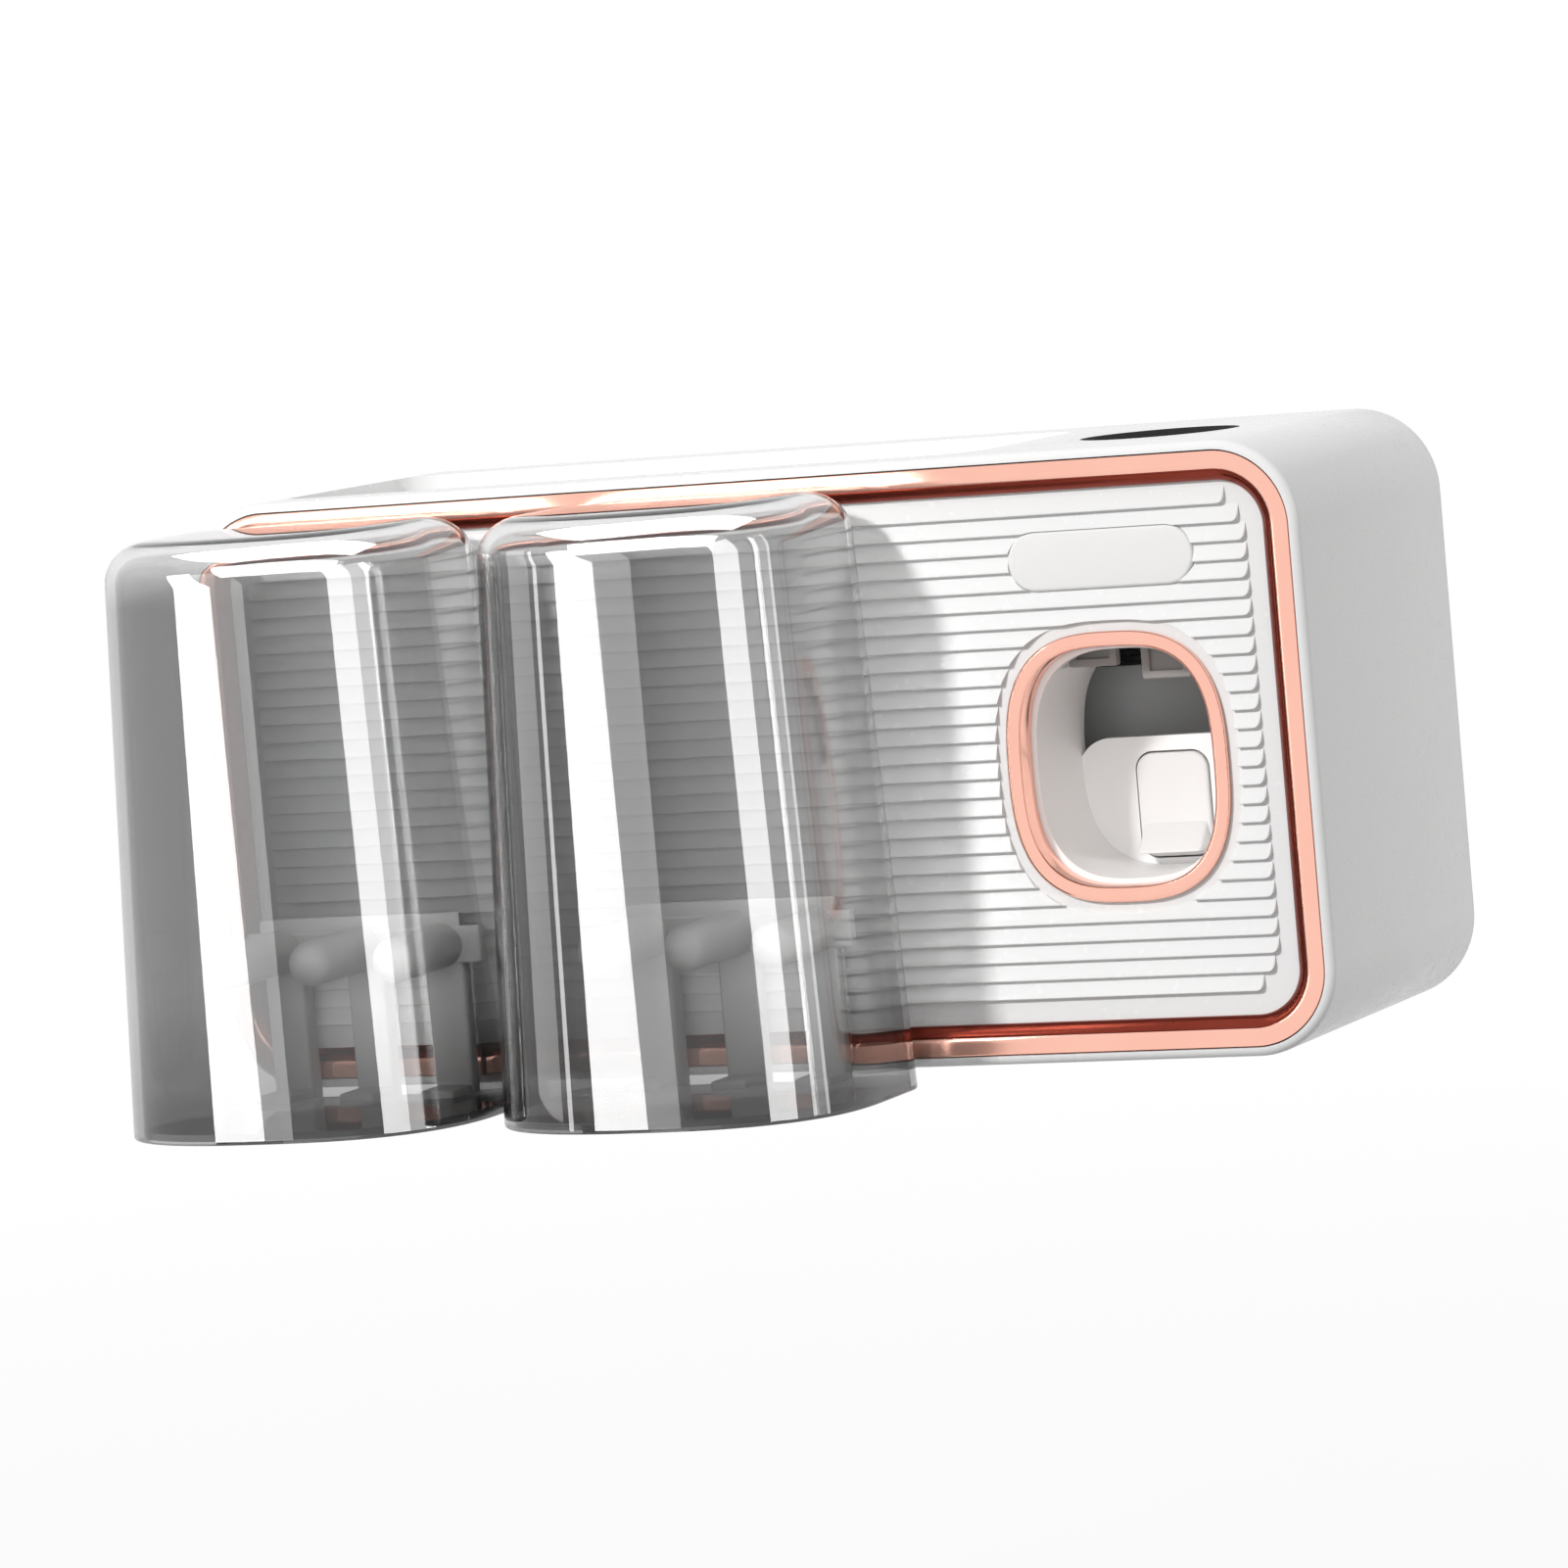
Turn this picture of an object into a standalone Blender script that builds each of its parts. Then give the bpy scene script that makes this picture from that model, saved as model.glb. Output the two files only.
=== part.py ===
"""Wall-hung toothpaste dispenser with two lift-off rinsing cups.

Metres, +Z up, the wall is the plane y = 0 and the front looks along -Y.
The origin is the middle of the wall face. A push pad inside the oval window works a small
piston pump: pushed back it presses paste out of the nozzle, and its spring draws the next
portion from the tube that stands neck down in the round hole in the top.
"""
import math

import bmesh
import bpy
from mathutils import Matrix, Vector

MM = 0.001

# Body
BODY_WIDTH = 256 * MM
BODY_HEIGHT = 128 * MM
BODY_DEPTH = 92 * MM
BODY_CORNER = 18.3 * MM
BODY_WALL = 2.4 * MM
FRONT_FILLET = 2.0 * MM
REAR_FILLET = 1.6 * MM
GAP = 0.3 * MM
OVERRUN = 3 * MM
UNIT = 1.0

# Wall fixing
TAPE_WIDTH = 150 * MM
TAPE_HEIGHT = 66 * MM
TAPE_THICK = 1.0 * MM
HANGER_WIDTH = 164 * MM
HANGER_HEIGHT = 80 * MM
HANGER_THICK = 2.0 * MM
HANGER_CORNER = 6 * MM
TONGUE_HEIGHT_SHARE = 0.25
TONGUE_SPACING = 116 * MM
TONGUE_WIDTH = 24 * MM
TONGUE_THICK = 2.4 * MM
TONGUE_REACH = 7.2 * MM
TONGUE_LIP = 6 * MM

REAR_Y = -(TAPE_THICK + GAP + HANGER_THICK + GAP)
FRONT_Y = REAR_Y - BODY_DEPTH

# Rear cover and its screws
COVER_THICK = 2.4 * MM
COVER_SCREW_INSET = 9.2 * MM
BOSS_RADIUS = 4.2 * MM
BOSS_LENGTH = 24 * MM
SCREW_RADIUS = 1.5 * MM
SCREW_LENGTH = 14 * MM
SCREW_HEAD_RADIUS = 3.0 * MM
SCREW_HEAD_HEIGHT = 1.5 * MM
SCREW_CROWN_SHARE = 0.8

# Tray in the top
TRAY_INSET = 16 * MM
TRAY_TO_WINDOW = 31.2 * MM
TRAY_FRONT = 12 * MM
TRAY_BACK = 78 * MM
TRAY_DEPTH = 12 * MM
TRAY_CORNER = 9 * MM
TRAY_WALL = 2.0 * MM

# Rose-gold frame set in the white rim
FRAME_FLAT = 3.4 * MM
FRAME_SLOPE = 2.9 * MM
FRAME_DEPTH = 3.0 * MM
FRAME_SINK = 0.1 * MM
FRAME_EDGE = 0.45 * MM

# Ribbed front panel
PANEL_THICK = 2.4 * MM
RIB_COUNT = 27
RIB_PROUD = 0.9 * MM
RIB_INSET_TOP = 13.2 * MM
RIB_INSET_BOTTOM = 13.66 * MM
RIB_STEP = 0.45 * MM
RIB_MARGIN = 3.6 * MM
RIB_CORNER = 6 * MM
LEDGE_WIDTH = 14 * MM
LEDGE_HEIGHT = 4 * MM
LEDGE_THICK = 3 * MM
LEDGE_X_SHARES = (-0.62, 0.0, 0.62)

# Oval window with its rose-gold ring
WINDOW_INSET = 44.8 * MM
WINDOW_Z = -2.6 * MM
WINDOW_EXPONENT = 2.8
RING_HALF_WIDTH = 24.5 * MM
RING_HALF_HEIGHT = 28.3 * MM
RING_FACE = 3.2 * MM
RING_PROUD = 1.7 * MM
SLEEVE_WALL = 1.2 * MM
SLEEVE_DEPTH = 5.2 * MM
SLEEVE_EDGE = 0.5 * MM
WINDOW_MARGIN = 2.2 * MM

# Plain badge plate over the window
BADGE_WIDTH = 41.2 * MM
BADGE_HEIGHT = 12.4 * MM
BADGE_THICK = 1.2 * MM
BADGE_INSET = 23.1 * MM
BADGE_EDGE = 0.4 * MM
BADGE_MARGIN = 0.5 * MM

# Trough behind the window
TROUGH_LIP = 1.0 * MM
TROUGH_WALL = 2.0 * MM
TROUGH_COLLAR = 4.6 * MM
TROUGH_BACK = 34 * MM
BACK_WALL_THICK = 2.4 * MM
BACK_WALL_TOP = 0.6 * MM
BACK_WALL_CORNER = 8 * MM
MOUTH_HALF_WIDTH = 14.6 * MM
MOUTH_FRONT = 11.6 * MM
MOUTH_BACK = 30 * MM
MOUTH_Z = 12 * MM
POST_RADIUS = 2.6 * MM
POST_SPREAD = 13 * MM

# Push pad
PAD_HALF_WIDTH = 8 * MM
PAD_TOP = -3.0 * MM
PAD_BOTTOM = -25 * MM
PAD_THICK = 3.0 * MM
PAD_PROUD = 0.8 * MM
PAD_CORNER = 3.6 * MM
PAD_CLEARANCE = 0.4 * MM
LIP_HALF_WIDTH = 7.2 * MM
LIP_TOP = -17.6 * MM
LIP_REACH = 5.5 * MM
PAD_BOSS_RADIUS = 4.2 * MM
PAD_BOSS_LENGTH = 4 * MM

# Piston pump on the axis behind the pad
ROD_RADIUS = 2.5 * MM
SPRING_RADIUS = 6.2 * MM
SPRING_WIRE = 0.45 * MM
SPRING_TURNS = 7
SPRING_ROOM = 17.6 * MM
CYLINDER_BORE = 7.5 * MM
CYLINDER_WALL = 1.8 * MM
CYLINDER_LENGTH = 21 * MM
CYLINDER_FRONT = 2 * MM
FLANGE_HEIGHT = 12 * MM
FLANGE_THICK = 2 * MM
PISTON_LENGTH = 6 * MM
SEAL_RADIUS = 0.6 * MM
SOCKET_DEPTH = 4 * MM
PUMP_SCREW_LENGTH = 8 * MM

# Pump head: rear cap, riser and the duct to the nozzle
CAP_THICK = 6 * MM
RISER_HALF_WIDTH = 5 * MM
DUCT_HALF_WIDTH = 6.5 * MM
DUCT_HEIGHT_SHARE = 0.3133
COLLAR_SHARE = 0.3655
CHANNEL_RADIUS = 2.4 * MM
HEAD_HALF_WIDTH = 14 * MM
HEAD_FRONT = 11 * MM
HEAD_LENGTH = 17 * MM
NOZZLE_DEPTH = 21 * MM
NOZZLE_RADIUS = 4.4 * MM
NOZZLE_BORE = 2.2 * MM
NOZZLE_DROP = 3 * MM
OUTLET_RADIUS = 3.2 * MM
OUTLET_VALVE_LENGTH = 4 * MM
INLET_RADIUS = 4.2 * MM
INLET_VALVE_THICK = 1.6 * MM
LUG_THICK = 2.2 * MM
LUG_DEPTH = 14 * MM
LUG_INNER = 2.8 * MM
LUG_WIDTH = 10.6 * MM
LUG_LEFT_BOTTOM = 17.5 * MM
LUG_RIGHT_BOTTOM = 14.3 * MM
LUG_POCKET = 0.8 * MM
LUG_RIM = 1.6 * MM

# Tube hole in the top and the soft seat below it
TUBE_DEPTH = 43 * MM
TUBE_HOLE_RADIUS = 17 * MM
COLLAR_WALL = 2 * MM
SEAT_FOOT_RADIUS = 8 * MM
SEAT_NECK_RADIUS = 5.2 * MM
SEAT_WALL = 2.2 * MM
SEAT_HOLE_RADIUS = 3.2 * MM

# Rinsing cups
CUP_SPACING = 88 * MM
CUP_PAIR_INSET = 80.2 * MM
CUP_HALF_WIDTH = 41 * MM
CUP_DEPTH = 62 * MM
CUP_BACK_GAP = 0.8 * MM
CUP_BACK_CORNER = 11 * MM
CUP_FRONT_EXPONENT = 2.6
CUP_SIDE_SHARE = 0.42
CUP_HANG_BELOW = 3 * MM
CUP_TOP_DROP = 4.4 * MM
CUP_DRAFT = 4.4 * MM
CUP_FRONT_DRAFT = 5 * MM
CUP_SHOULDER = 8.5 * MM
CUP_WALL = 2.2 * MM

# Brush racks that also carry the cups
RACK_RISE = 31 * MM
RAIL_HEIGHT = 8 * MM
RAIL_HALF_WIDTH = 27.5 * MM
RAIL_THICK = 2.2 * MM
RAIL_LIP = 3 * MM
NECK_HALF_WIDTH = 24.3 * MM
PEG_RADIUS = 4.8 * MM
PEG_PITCH = 19.8 * MM
PEG_REACH = 34 * MM
POST_WIDTH = 9 * MM
POST_FRONT = 5.2 * MM
POST_DROP = 2.0 * MM
FOOT_REACH = 15 * MM
FOOT_HEIGHT = 2.8 * MM
RACK_SCREW_LENGTH = 9 * MM
RACK_SCREW_RADIUS = 1.3 * MM

# Facets
CORNER_SEGMENTS = 7
FILLET_SEGMENTS = 2
OVAL_SIDES = 40
ROUND_SIDES = 20
SMALL_SIDES = 12
CUP_SIDES = 48
SHOULDER_SEGMENTS = 4
SMOOTH_ANGLE = math.radians(35)
ALONG_SHARE = 0.9
MERGE = GAP / 10

BODY_LEFT = -BODY_WIDTH / 2
BODY_RIGHT = BODY_WIDTH / 2
BODY_TOP = BODY_HEIGHT / 2
BODY_BOTTOM = -BODY_HEIGHT / 2
TONGUE_Z = HANGER_HEIGHT * TONGUE_HEIGHT_SHARE
WINDOW_X = BODY_RIGHT - WINDOW_INSET
BADGE_Z = BODY_TOP - BADGE_INSET
TRAY_LEFT = BODY_LEFT + TRAY_INSET
TRAY_RIGHT = WINDOW_X - TRAY_TO_WINDOW
RIB_TOP = BODY_TOP - RIB_INSET_TOP
RIB_PITCH = (RIB_TOP - BODY_BOTTOM - RIB_INSET_BOTTOM) / (RIB_COUNT - 1)
CUP_MIDDLE_X = BODY_LEFT + CUP_PAIR_INSET
CUP_RIM_Z = BODY_BOTTOM - CUP_HANG_BELOW
CUP_TOP_Z = BODY_TOP - CUP_TOP_DROP
RACK_Z = BODY_BOTTOM + RACK_RISE
POST_BOTTOM = BODY_BOTTOM - POST_DROP
PUMP_Z = (PAD_TOP + PAD_BOTTOM) / 2
WINDOW_TOP = WINDOW_Z + RING_HALF_HEIGHT
HEADROOM = BODY_TOP - WINDOW_TOP
DUCT_BOTTOM = WINDOW_TOP + GAP
DUCT_HEIGHT = HEADROOM * DUCT_HEIGHT_SHARE
COLLAR_LENGTH = HEADROOM * COLLAR_SHARE
SEAT_HEIGHT = HEADROOM - DUCT_HEIGHT - COLLAR_LENGTH + GAP
FRAME_HALF_WIDTH = BODY_WIDTH / 2 - BODY_WALL - GAP
FRAME_HALF_HEIGHT = BODY_HEIGHT / 2 - BODY_WALL - GAP
FRAME_CORNER = BODY_CORNER - BODY_WALL - GAP
PANEL_FACE = FRAME_SINK + FRAME_DEPTH + GAP
PANEL_BACK = PANEL_FACE + PANEL_THICK
BADGE_CORNER = BADGE_HEIGHT / 2
HANGER_Y = -(TAPE_THICK + GAP)
SLEEVE_HALF_WIDTH = RING_HALF_WIDTH - RING_FACE
SLEEVE_HALF_HEIGHT = RING_HALF_HEIGHT - RING_FACE
TROUGH_FRONT = PANEL_BACK + GAP
TROUGH_HALF_WIDTH = SLEEVE_HALF_WIDTH - TROUGH_LIP
TROUGH_HALF_HEIGHT = SLEEVE_HALF_HEIGHT - TROUGH_LIP
PAD_FACE = TROUGH_BACK - PAD_PROUD
PAD_BACK = PAD_FACE + PAD_THICK
CYLINDER_FACE = PAD_BACK + SPRING_ROOM
CYLINDER_END = CYLINDER_FACE + CYLINDER_LENGTH
DUCT_TOP = DUCT_BOTTOM + DUCT_HEIGHT
CHANNEL_Z = DUCT_BOTTOM + DUCT_HEIGHT / 2
RISER_DEPTH = CYLINDER_END + GAP + CAP_THICK / 2
CUP_XS = (CUP_MIDDLE_X - CUP_SPACING / 2, CUP_MIDDLE_X + CUP_SPACING / 2)
RAIL_TOP = RACK_Z + RAIL_HEIGHT / 2
RAIL_BOTTOM = RACK_Z - RAIL_HEIGHT / 2
RAIL_BACK = -(CUP_BACK_GAP + CUP_WALL + GAP)


def behind(depth):
    """The y of a plane that lies this deep behind the front of the white rim."""
    return FRONT_Y + depth


def clear_scene():
    for item in list(bpy.data.objects):
        bpy.data.objects.remove(item, do_unlink=True)


def make_collection(name):
    group = bpy.data.collections.new(name)
    bpy.context.scene.collection.children.link(group)
    return group


def make_material(name, colour, roughness, metallic=0.0, transmission=0.0):
    material = bpy.data.materials.new(name)
    material.use_nodes = True
    shader = material.node_tree.nodes["Principled BSDF"]
    shader.inputs["Base Color"].default_value = (*colour, 1.0)
    shader.inputs["Roughness"].default_value = roughness
    shader.inputs["Metallic"].default_value = metallic
    shader.inputs["Transmission Weight"].default_value = transmission
    material.diffuse_color = (*colour, 1.0)
    return material


clear_scene()
PARTS = make_collection("toothpaste_dispenser")
CUTTERS = make_collection("cutters")

WHITE = make_material("white_abs", (0.86, 0.86, 0.85), 0.28)
LINER_WHITE = make_material("white_liner", (0.80, 0.79, 0.78), 0.35)
ROSE_GOLD = make_material("rose_gold_plating", (0.90, 0.52, 0.42), 0.16, metallic=1.0)
SMOKE = make_material("smoke_clear_plastic", (0.72, 0.74, 0.75), 0.05, transmission=0.9)
GREY = make_material("grey_plastic", (0.42, 0.42, 0.42), 0.40)
SILICONE = make_material("soft_silicone", (0.62, 0.62, 0.60), 0.55)
STEEL = make_material("steel", (0.62, 0.62, 0.63), 0.30, metallic=1.0)
FOAM = make_material("foam_tape", (0.75, 0.75, 0.73), 0.90)


def finish(name, bm, material, origin=(0, 0, 0)):
    """Turns world-space geometry into a named object whose origin is the given point."""
    bmesh.ops.translate(bm, vec=-Vector(origin), verts=bm.verts)
    bmesh.ops.recalc_face_normals(bm, faces=bm.faces)
    mesh = bpy.data.meshes.new(name)
    bm.to_mesh(mesh)
    bm.free()
    return place(name, mesh, material, origin)


def place(name, mesh, material, origin):
    item = bpy.data.objects.new(name, mesh)
    item.location = origin
    if material:
        mesh.materials.append(material)
        mesh.shade_smooth()
        mesh.set_sharp_from_angle(angle=SMOOTH_ANGLE)
        PARTS.objects.link(item)
    else:
        item.hide_render = True
        item.display_type = "WIRE"
        CUTTERS.objects.link(item)
    return item


def combine(item, tool, operation):
    modifier = item.modifiers.new(f"{operation.lower()} {tool.name}", "BOOLEAN")
    modifier.operation = operation
    modifier.solver = "EXACT"
    modifier.object = tool


def cut(item, *tools):
    for tool in tools:
        combine(item, tool, "DIFFERENCE")


def join(item, *tools):
    for tool in tools:
        combine(item, tool, "UNION")


def soften(item, width, segments=1):
    """Rounds the sharp edges that the earlier steps left."""
    modifier = item.modifiers.new("soft edges", "BEVEL")
    modifier.width = width
    modifier.segments = segments
    modifier.limit_method = "ANGLE"
    modifier.angle_limit = SMOOTH_ANGLE


def box(low, high):
    bm = bmesh.new()
    bmesh.ops.create_cube(bm, size=UNIT)
    low = Vector(low)
    high = Vector(high)
    bmesh.ops.scale(bm, vec=high - low, verts=bm.verts)
    bmesh.ops.translate(bm, vec=(low + high) / 2, verts=bm.verts)
    return bm


def edges_along(bm, axis):
    found = []
    for edge in bm.edges:
        run = edge.verts[0].co - edge.verts[1].co
        if abs(run[axis]) > ALONG_SHARE * run.length:
            found.append(edge)
    return found


def edges_at(bm, axis, value):
    return [e for e in bm.edges if all(abs(v.co[axis] - value) < MERGE for v in e.verts)]


def round_edges(bm, edges, radius, segments):
    bmesh.ops.bevel(bm, geom=edges, offset=radius, segments=segments, profile=0.5, affect="EDGES")


def plate(half_width, half_height, corner, y_front, y_back, x=0.0, z=0.0):
    """A rounded rectangle seen from the front, with its thickness along Y."""
    bm = box((x - half_width, y_front, z - half_height), (x + half_width, y_back, z + half_height))
    round_edges(bm, edges_along(bm, 1), corner, CORNER_SEGMENTS)
    return bm


def oval(half_width, half_height, y_front, y_back, x=WINDOW_X, z=WINDOW_Z):
    """The window's outline, a squared-off oval, as a solid between two depths."""
    bm = bmesh.new()
    bmesh.ops.create_cone(bm, cap_ends=True, segments=OVAL_SIDES, radius1=UNIT, radius2=UNIT, depth=UNIT)
    power = 2 / WINDOW_EXPONENT
    for vert in bm.verts:
        across = math.copysign(abs(vert.co.x) ** power, vert.co.x)
        up = math.copysign(abs(vert.co.y) ** power, vert.co.y)
        y = y_front if vert.co.z < 0 else y_back
        vert.co = Vector((x + half_width * across, y, z + half_height * up))
    bmesh.ops.recalc_face_normals(bm, faces=bm.faces)
    return bm


def rod(radius, start, end, sides=ROUND_SIDES, end_radius=None):
    """A cylinder or cone between two points."""
    start = Vector(start)
    end = Vector(end)
    run = end - start
    bm = bmesh.new()
    tip = radius if end_radius is None else end_radius
    bmesh.ops.create_cone(bm, cap_ends=True, segments=sides, radius1=radius, radius2=tip, depth=run.length)
    turn = Vector((0, 0, 1)).rotation_difference(run).to_matrix().to_4x4()
    bmesh.ops.transform(bm, matrix=Matrix.Translation((start + end) / 2) @ turn, verts=bm.verts)
    return bm


def turned(name, profile, material, origin, along_y=False, sides=ROUND_SIDES, closed=False):
    """Turns a profile of (radius, height) points about its own axis with a Screw modifier."""
    mesh = bpy.data.meshes.new(name)
    points = [(radius, 0, height) for radius, height in profile]
    links = [(i, i + 1) for i in range(len(points) - 1)]
    if closed:
        links.append((len(points) - 1, 0))
    mesh.from_pydata(points, links, [])
    item = place(name, mesh, material, origin)
    if along_y:
        item.rotation_euler = (-math.pi / 2, 0, 0)
    screw = item.modifiers.new("turn", "SCREW")
    screw.axis = "Z"
    screw.angle = math.tau
    screw.steps = sides
    screw.render_steps = sides
    screw.use_merge_vertices = True
    screw.merge_threshold = MERGE
    screw.use_smooth_shade = True
    return item


def make_screw(name, x, z, depth, length, radius):
    """A pan-head screw put in from the back, its head at this depth and its shank to the front."""
    head = SCREW_HEAD_HEIGHT
    profile = [
        (0, head), (SCREW_HEAD_RADIUS * SCREW_CROWN_SHARE, head), (SCREW_HEAD_RADIUS, head / 2),
        (SCREW_HEAD_RADIUS, 0), (radius, 0), (radius, radius - length), (0, -length),
    ]
    return turned(name, profile, STEEL, (x, behind(depth), z), along_y=True, sides=SMALL_SIDES)


def make_wall_fixing():
    corner = (TAPE_WIDTH / 2, 0, TAPE_HEIGHT / 2)
    tape = box((-TAPE_WIDTH / 2, -TAPE_THICK, -TAPE_HEIGHT / 2), corner)
    finish("adhesive_pad", tape, FOAM)

    front = HANGER_Y - HANGER_THICK
    sheet = plate(HANGER_WIDTH / 2, HANGER_HEIGHT / 2, HANGER_CORNER, front, HANGER_Y)
    hanger = finish("wall_hanger", sheet, STEEL)
    near = BODY_DEPTH + 2 * GAP + HANGER_THICK / 2
    far = BODY_DEPTH + GAP - TONGUE_REACH
    low = TONGUE_Z
    high = TONGUE_Z + TONGUE_THICK
    hook = [
        (near, low), (far - TONGUE_THICK, low), (far - TONGUE_THICK, high + TONGUE_LIP),
        (far, high + TONGUE_LIP), (far, high), (near, high),
    ]
    for side in (-1, 1):
        tongue = extrude_along_x("tongue", hook, TONGUE_WIDTH / 2, side * TONGUE_SPACING / 2)
        join(hanger, tongue)


def cover_screw_places():
    x = BODY_WIDTH / 2 - COVER_SCREW_INSET
    z = BODY_HEIGHT / 2 - COVER_SCREW_INSET
    return [(-x, z), (x, z), (x, -z), (-x, -z)]


def make_rear_cover():
    half_width = BODY_WIDTH / 2 - BODY_WALL - GAP
    half_height = BODY_HEIGHT / 2 - BODY_WALL - GAP
    front = REAR_Y - COVER_THICK
    cover = finish("rear_cover", plate(half_width, half_height, FRAME_CORNER, front, REAR_Y), WHITE)
    for side in (-1, 1):
        x = side * TONGUE_SPACING / 2
        half = TONGUE_WIDTH / 2 + 2 * GAP
        low = TONGUE_Z - GAP - TONGUE_LIP - TONGUE_THICK
        high = TONGUE_Z + TONGUE_THICK + GAP
        slot = box((x - half, front - OVERRUN, low), (x + half, REAR_Y + OVERRUN, high))
        cut(cover, finish("tongue slot", slot, None))
    depth = BODY_DEPTH - COVER_THICK
    for number, (x, z) in enumerate(cover_screw_places(), start=1):
        hole = rod(SCREW_RADIUS + GAP, (x, front - OVERRUN, z), (x, REAR_Y + OVERRUN, z), SMALL_SIDES)
        cut(cover, finish("cover screw hole", hole, None))
        sink_floor = REAR_Y - SCREW_HEAD_HEIGHT - GAP
        sink = rod(SCREW_HEAD_RADIUS + GAP, (x, sink_floor, z), (x, REAR_Y + OVERRUN, z), SMALL_SIDES)
        cut(cover, finish("cover screw sink", sink, None))
        seat = depth + COVER_THICK - SCREW_HEAD_HEIGHT
        make_screw(f"cover_screw_{number}", x, z, seat, SCREW_LENGTH, SCREW_RADIUS)


def make_housing():
    outer = plate(BODY_WIDTH / 2, BODY_HEIGHT / 2, BODY_CORNER, FRONT_Y, REAR_Y)
    round_edges(outer, edges_at(outer, 1, FRONT_Y), FRONT_FILLET, FILLET_SEGMENTS)
    round_edges(outer, edges_at(outer, 1, REAR_Y), REAR_FILLET, FILLET_SEGMENTS)
    housing = finish("housing", outer, WHITE)

    half_width = BODY_WIDTH / 2 - BODY_WALL
    half_height = BODY_HEIGHT / 2 - BODY_WALL
    corner = BODY_CORNER - BODY_WALL
    core = plate(half_width, half_height, corner, FRONT_Y - OVERRUN, REAR_Y + OVERRUN)
    cavity = finish("housing cavity", core, None)

    top = BODY_HEIGHT / 2
    floor = top - TRAY_DEPTH
    basin = box((TRAY_LEFT - TRAY_WALL, behind(TRAY_FRONT - TRAY_WALL), floor - TRAY_WALL),
                (TRAY_RIGHT + TRAY_WALL, behind(TRAY_BACK + TRAY_WALL), top + OVERRUN))
    round_edges(basin, edges_along(basin, 2), TRAY_CORNER + TRAY_WALL, CORNER_SEGMENTS)
    collar_low = (WINDOW_X, behind(TUBE_DEPTH), top - COLLAR_LENGTH)
    collar_high = (WINDOW_X, behind(TUBE_DEPTH), top + OVERRUN)
    collar = rod(TUBE_HOLE_RADIUS + COLLAR_WALL, collar_low, collar_high)
    cut(cavity, finish("tray basin", basin, None), finish("tube collar", collar, None))
    for x, z in cover_screw_places():
        start = REAR_Y - COVER_THICK - GAP
        boss = rod(BOSS_RADIUS, (x, start - BOSS_LENGTH, z), (x, start, z), SMALL_SIDES)
        cut(cavity, finish("screw boss", boss, None))
    for share in LEDGE_X_SHARES:
        for side in (-1, 1):
            x = share * half_width
            edge = side * half_height
            inner = edge - side * LEDGE_HEIGHT
            outer_z = edge + side * OVERRUN
            near = behind(PANEL_BACK + GAP)
            far = behind(PANEL_BACK + GAP + LEDGE_THICK)
            ledge = box((x - LEDGE_WIDTH / 2, near, min(inner, outer_z)),
                        (x + LEDGE_WIDTH / 2, far, max(inner, outer_z)))
            cut(cavity, finish("panel ledge", ledge, None))
    cut(housing, cavity)

    recess = box((TRAY_LEFT, behind(TRAY_FRONT), floor),
                 (TRAY_RIGHT, behind(TRAY_BACK), top + OVERRUN))
    round_edges(recess, edges_along(recess, 2), TRAY_CORNER, CORNER_SEGMENTS)
    below = (WINDOW_X, behind(TUBE_DEPTH), top - COLLAR_LENGTH - OVERRUN)
    hole = rod(TUBE_HOLE_RADIUS, below, collar_high)
    cut(housing, finish("tray recess", recess, None), finish("tube hole", hole, None))
    for x, z in cover_screw_places():
        start = REAR_Y - COVER_THICK + OVERRUN / 2
        end = start - BOSS_LENGTH + OVERRUN
        bore = rod(SCREW_RADIUS + GAP, (x, end, z), (x, start, z), SMALL_SIDES)
        cut(housing, finish("boss bore", bore, None))


def make_trim_frame():
    front = behind(FRAME_SINK)
    back = behind(FRAME_SINK + FRAME_DEPTH)
    blank = plate(FRAME_HALF_WIDTH, FRAME_HALF_HEIGHT, FRAME_CORNER, front, back)
    ring = finish("trim_frame", blank, ROSE_GOLD)
    wide = FRAME_FLAT
    opening = plate(FRAME_HALF_WIDTH - wide, FRAME_HALF_HEIGHT - wide, FRAME_CORNER - wide,
                    front - OVERRUN, back + OVERRUN)
    for vert in opening.verts:
        inward = (vert.co.y - front) * FRAME_SLOPE / FRAME_DEPTH
        vert.co.x -= math.copysign(1, vert.co.x) * inward
        vert.co.z -= math.copysign(1, vert.co.z) * inward
    cut(ring, finish("sloping opening", opening, None))
    soften(ring, FRAME_EDGE, 2)


def rib_profile():
    """Louvre outline in depth and height: each slat leans out to its lower edge and steps back."""
    root = PANEL_FACE + PANEL_THICK / 2
    valley = PANEL_FACE + GAP / 2
    points = [(root, RIB_TOP + RIB_PITCH), (valley, RIB_TOP + RIB_PITCH)]
    for number in range(RIB_COUNT):
        line = RIB_TOP - number * RIB_PITCH
        points.append((PANEL_FACE - RIB_PROUD, line + RIB_STEP / 2))
        points.append((valley, line - RIB_STEP / 2))
    points.append((root, RIB_TOP - (RIB_COUNT - 1) * RIB_PITCH - RIB_STEP))
    return points


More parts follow.
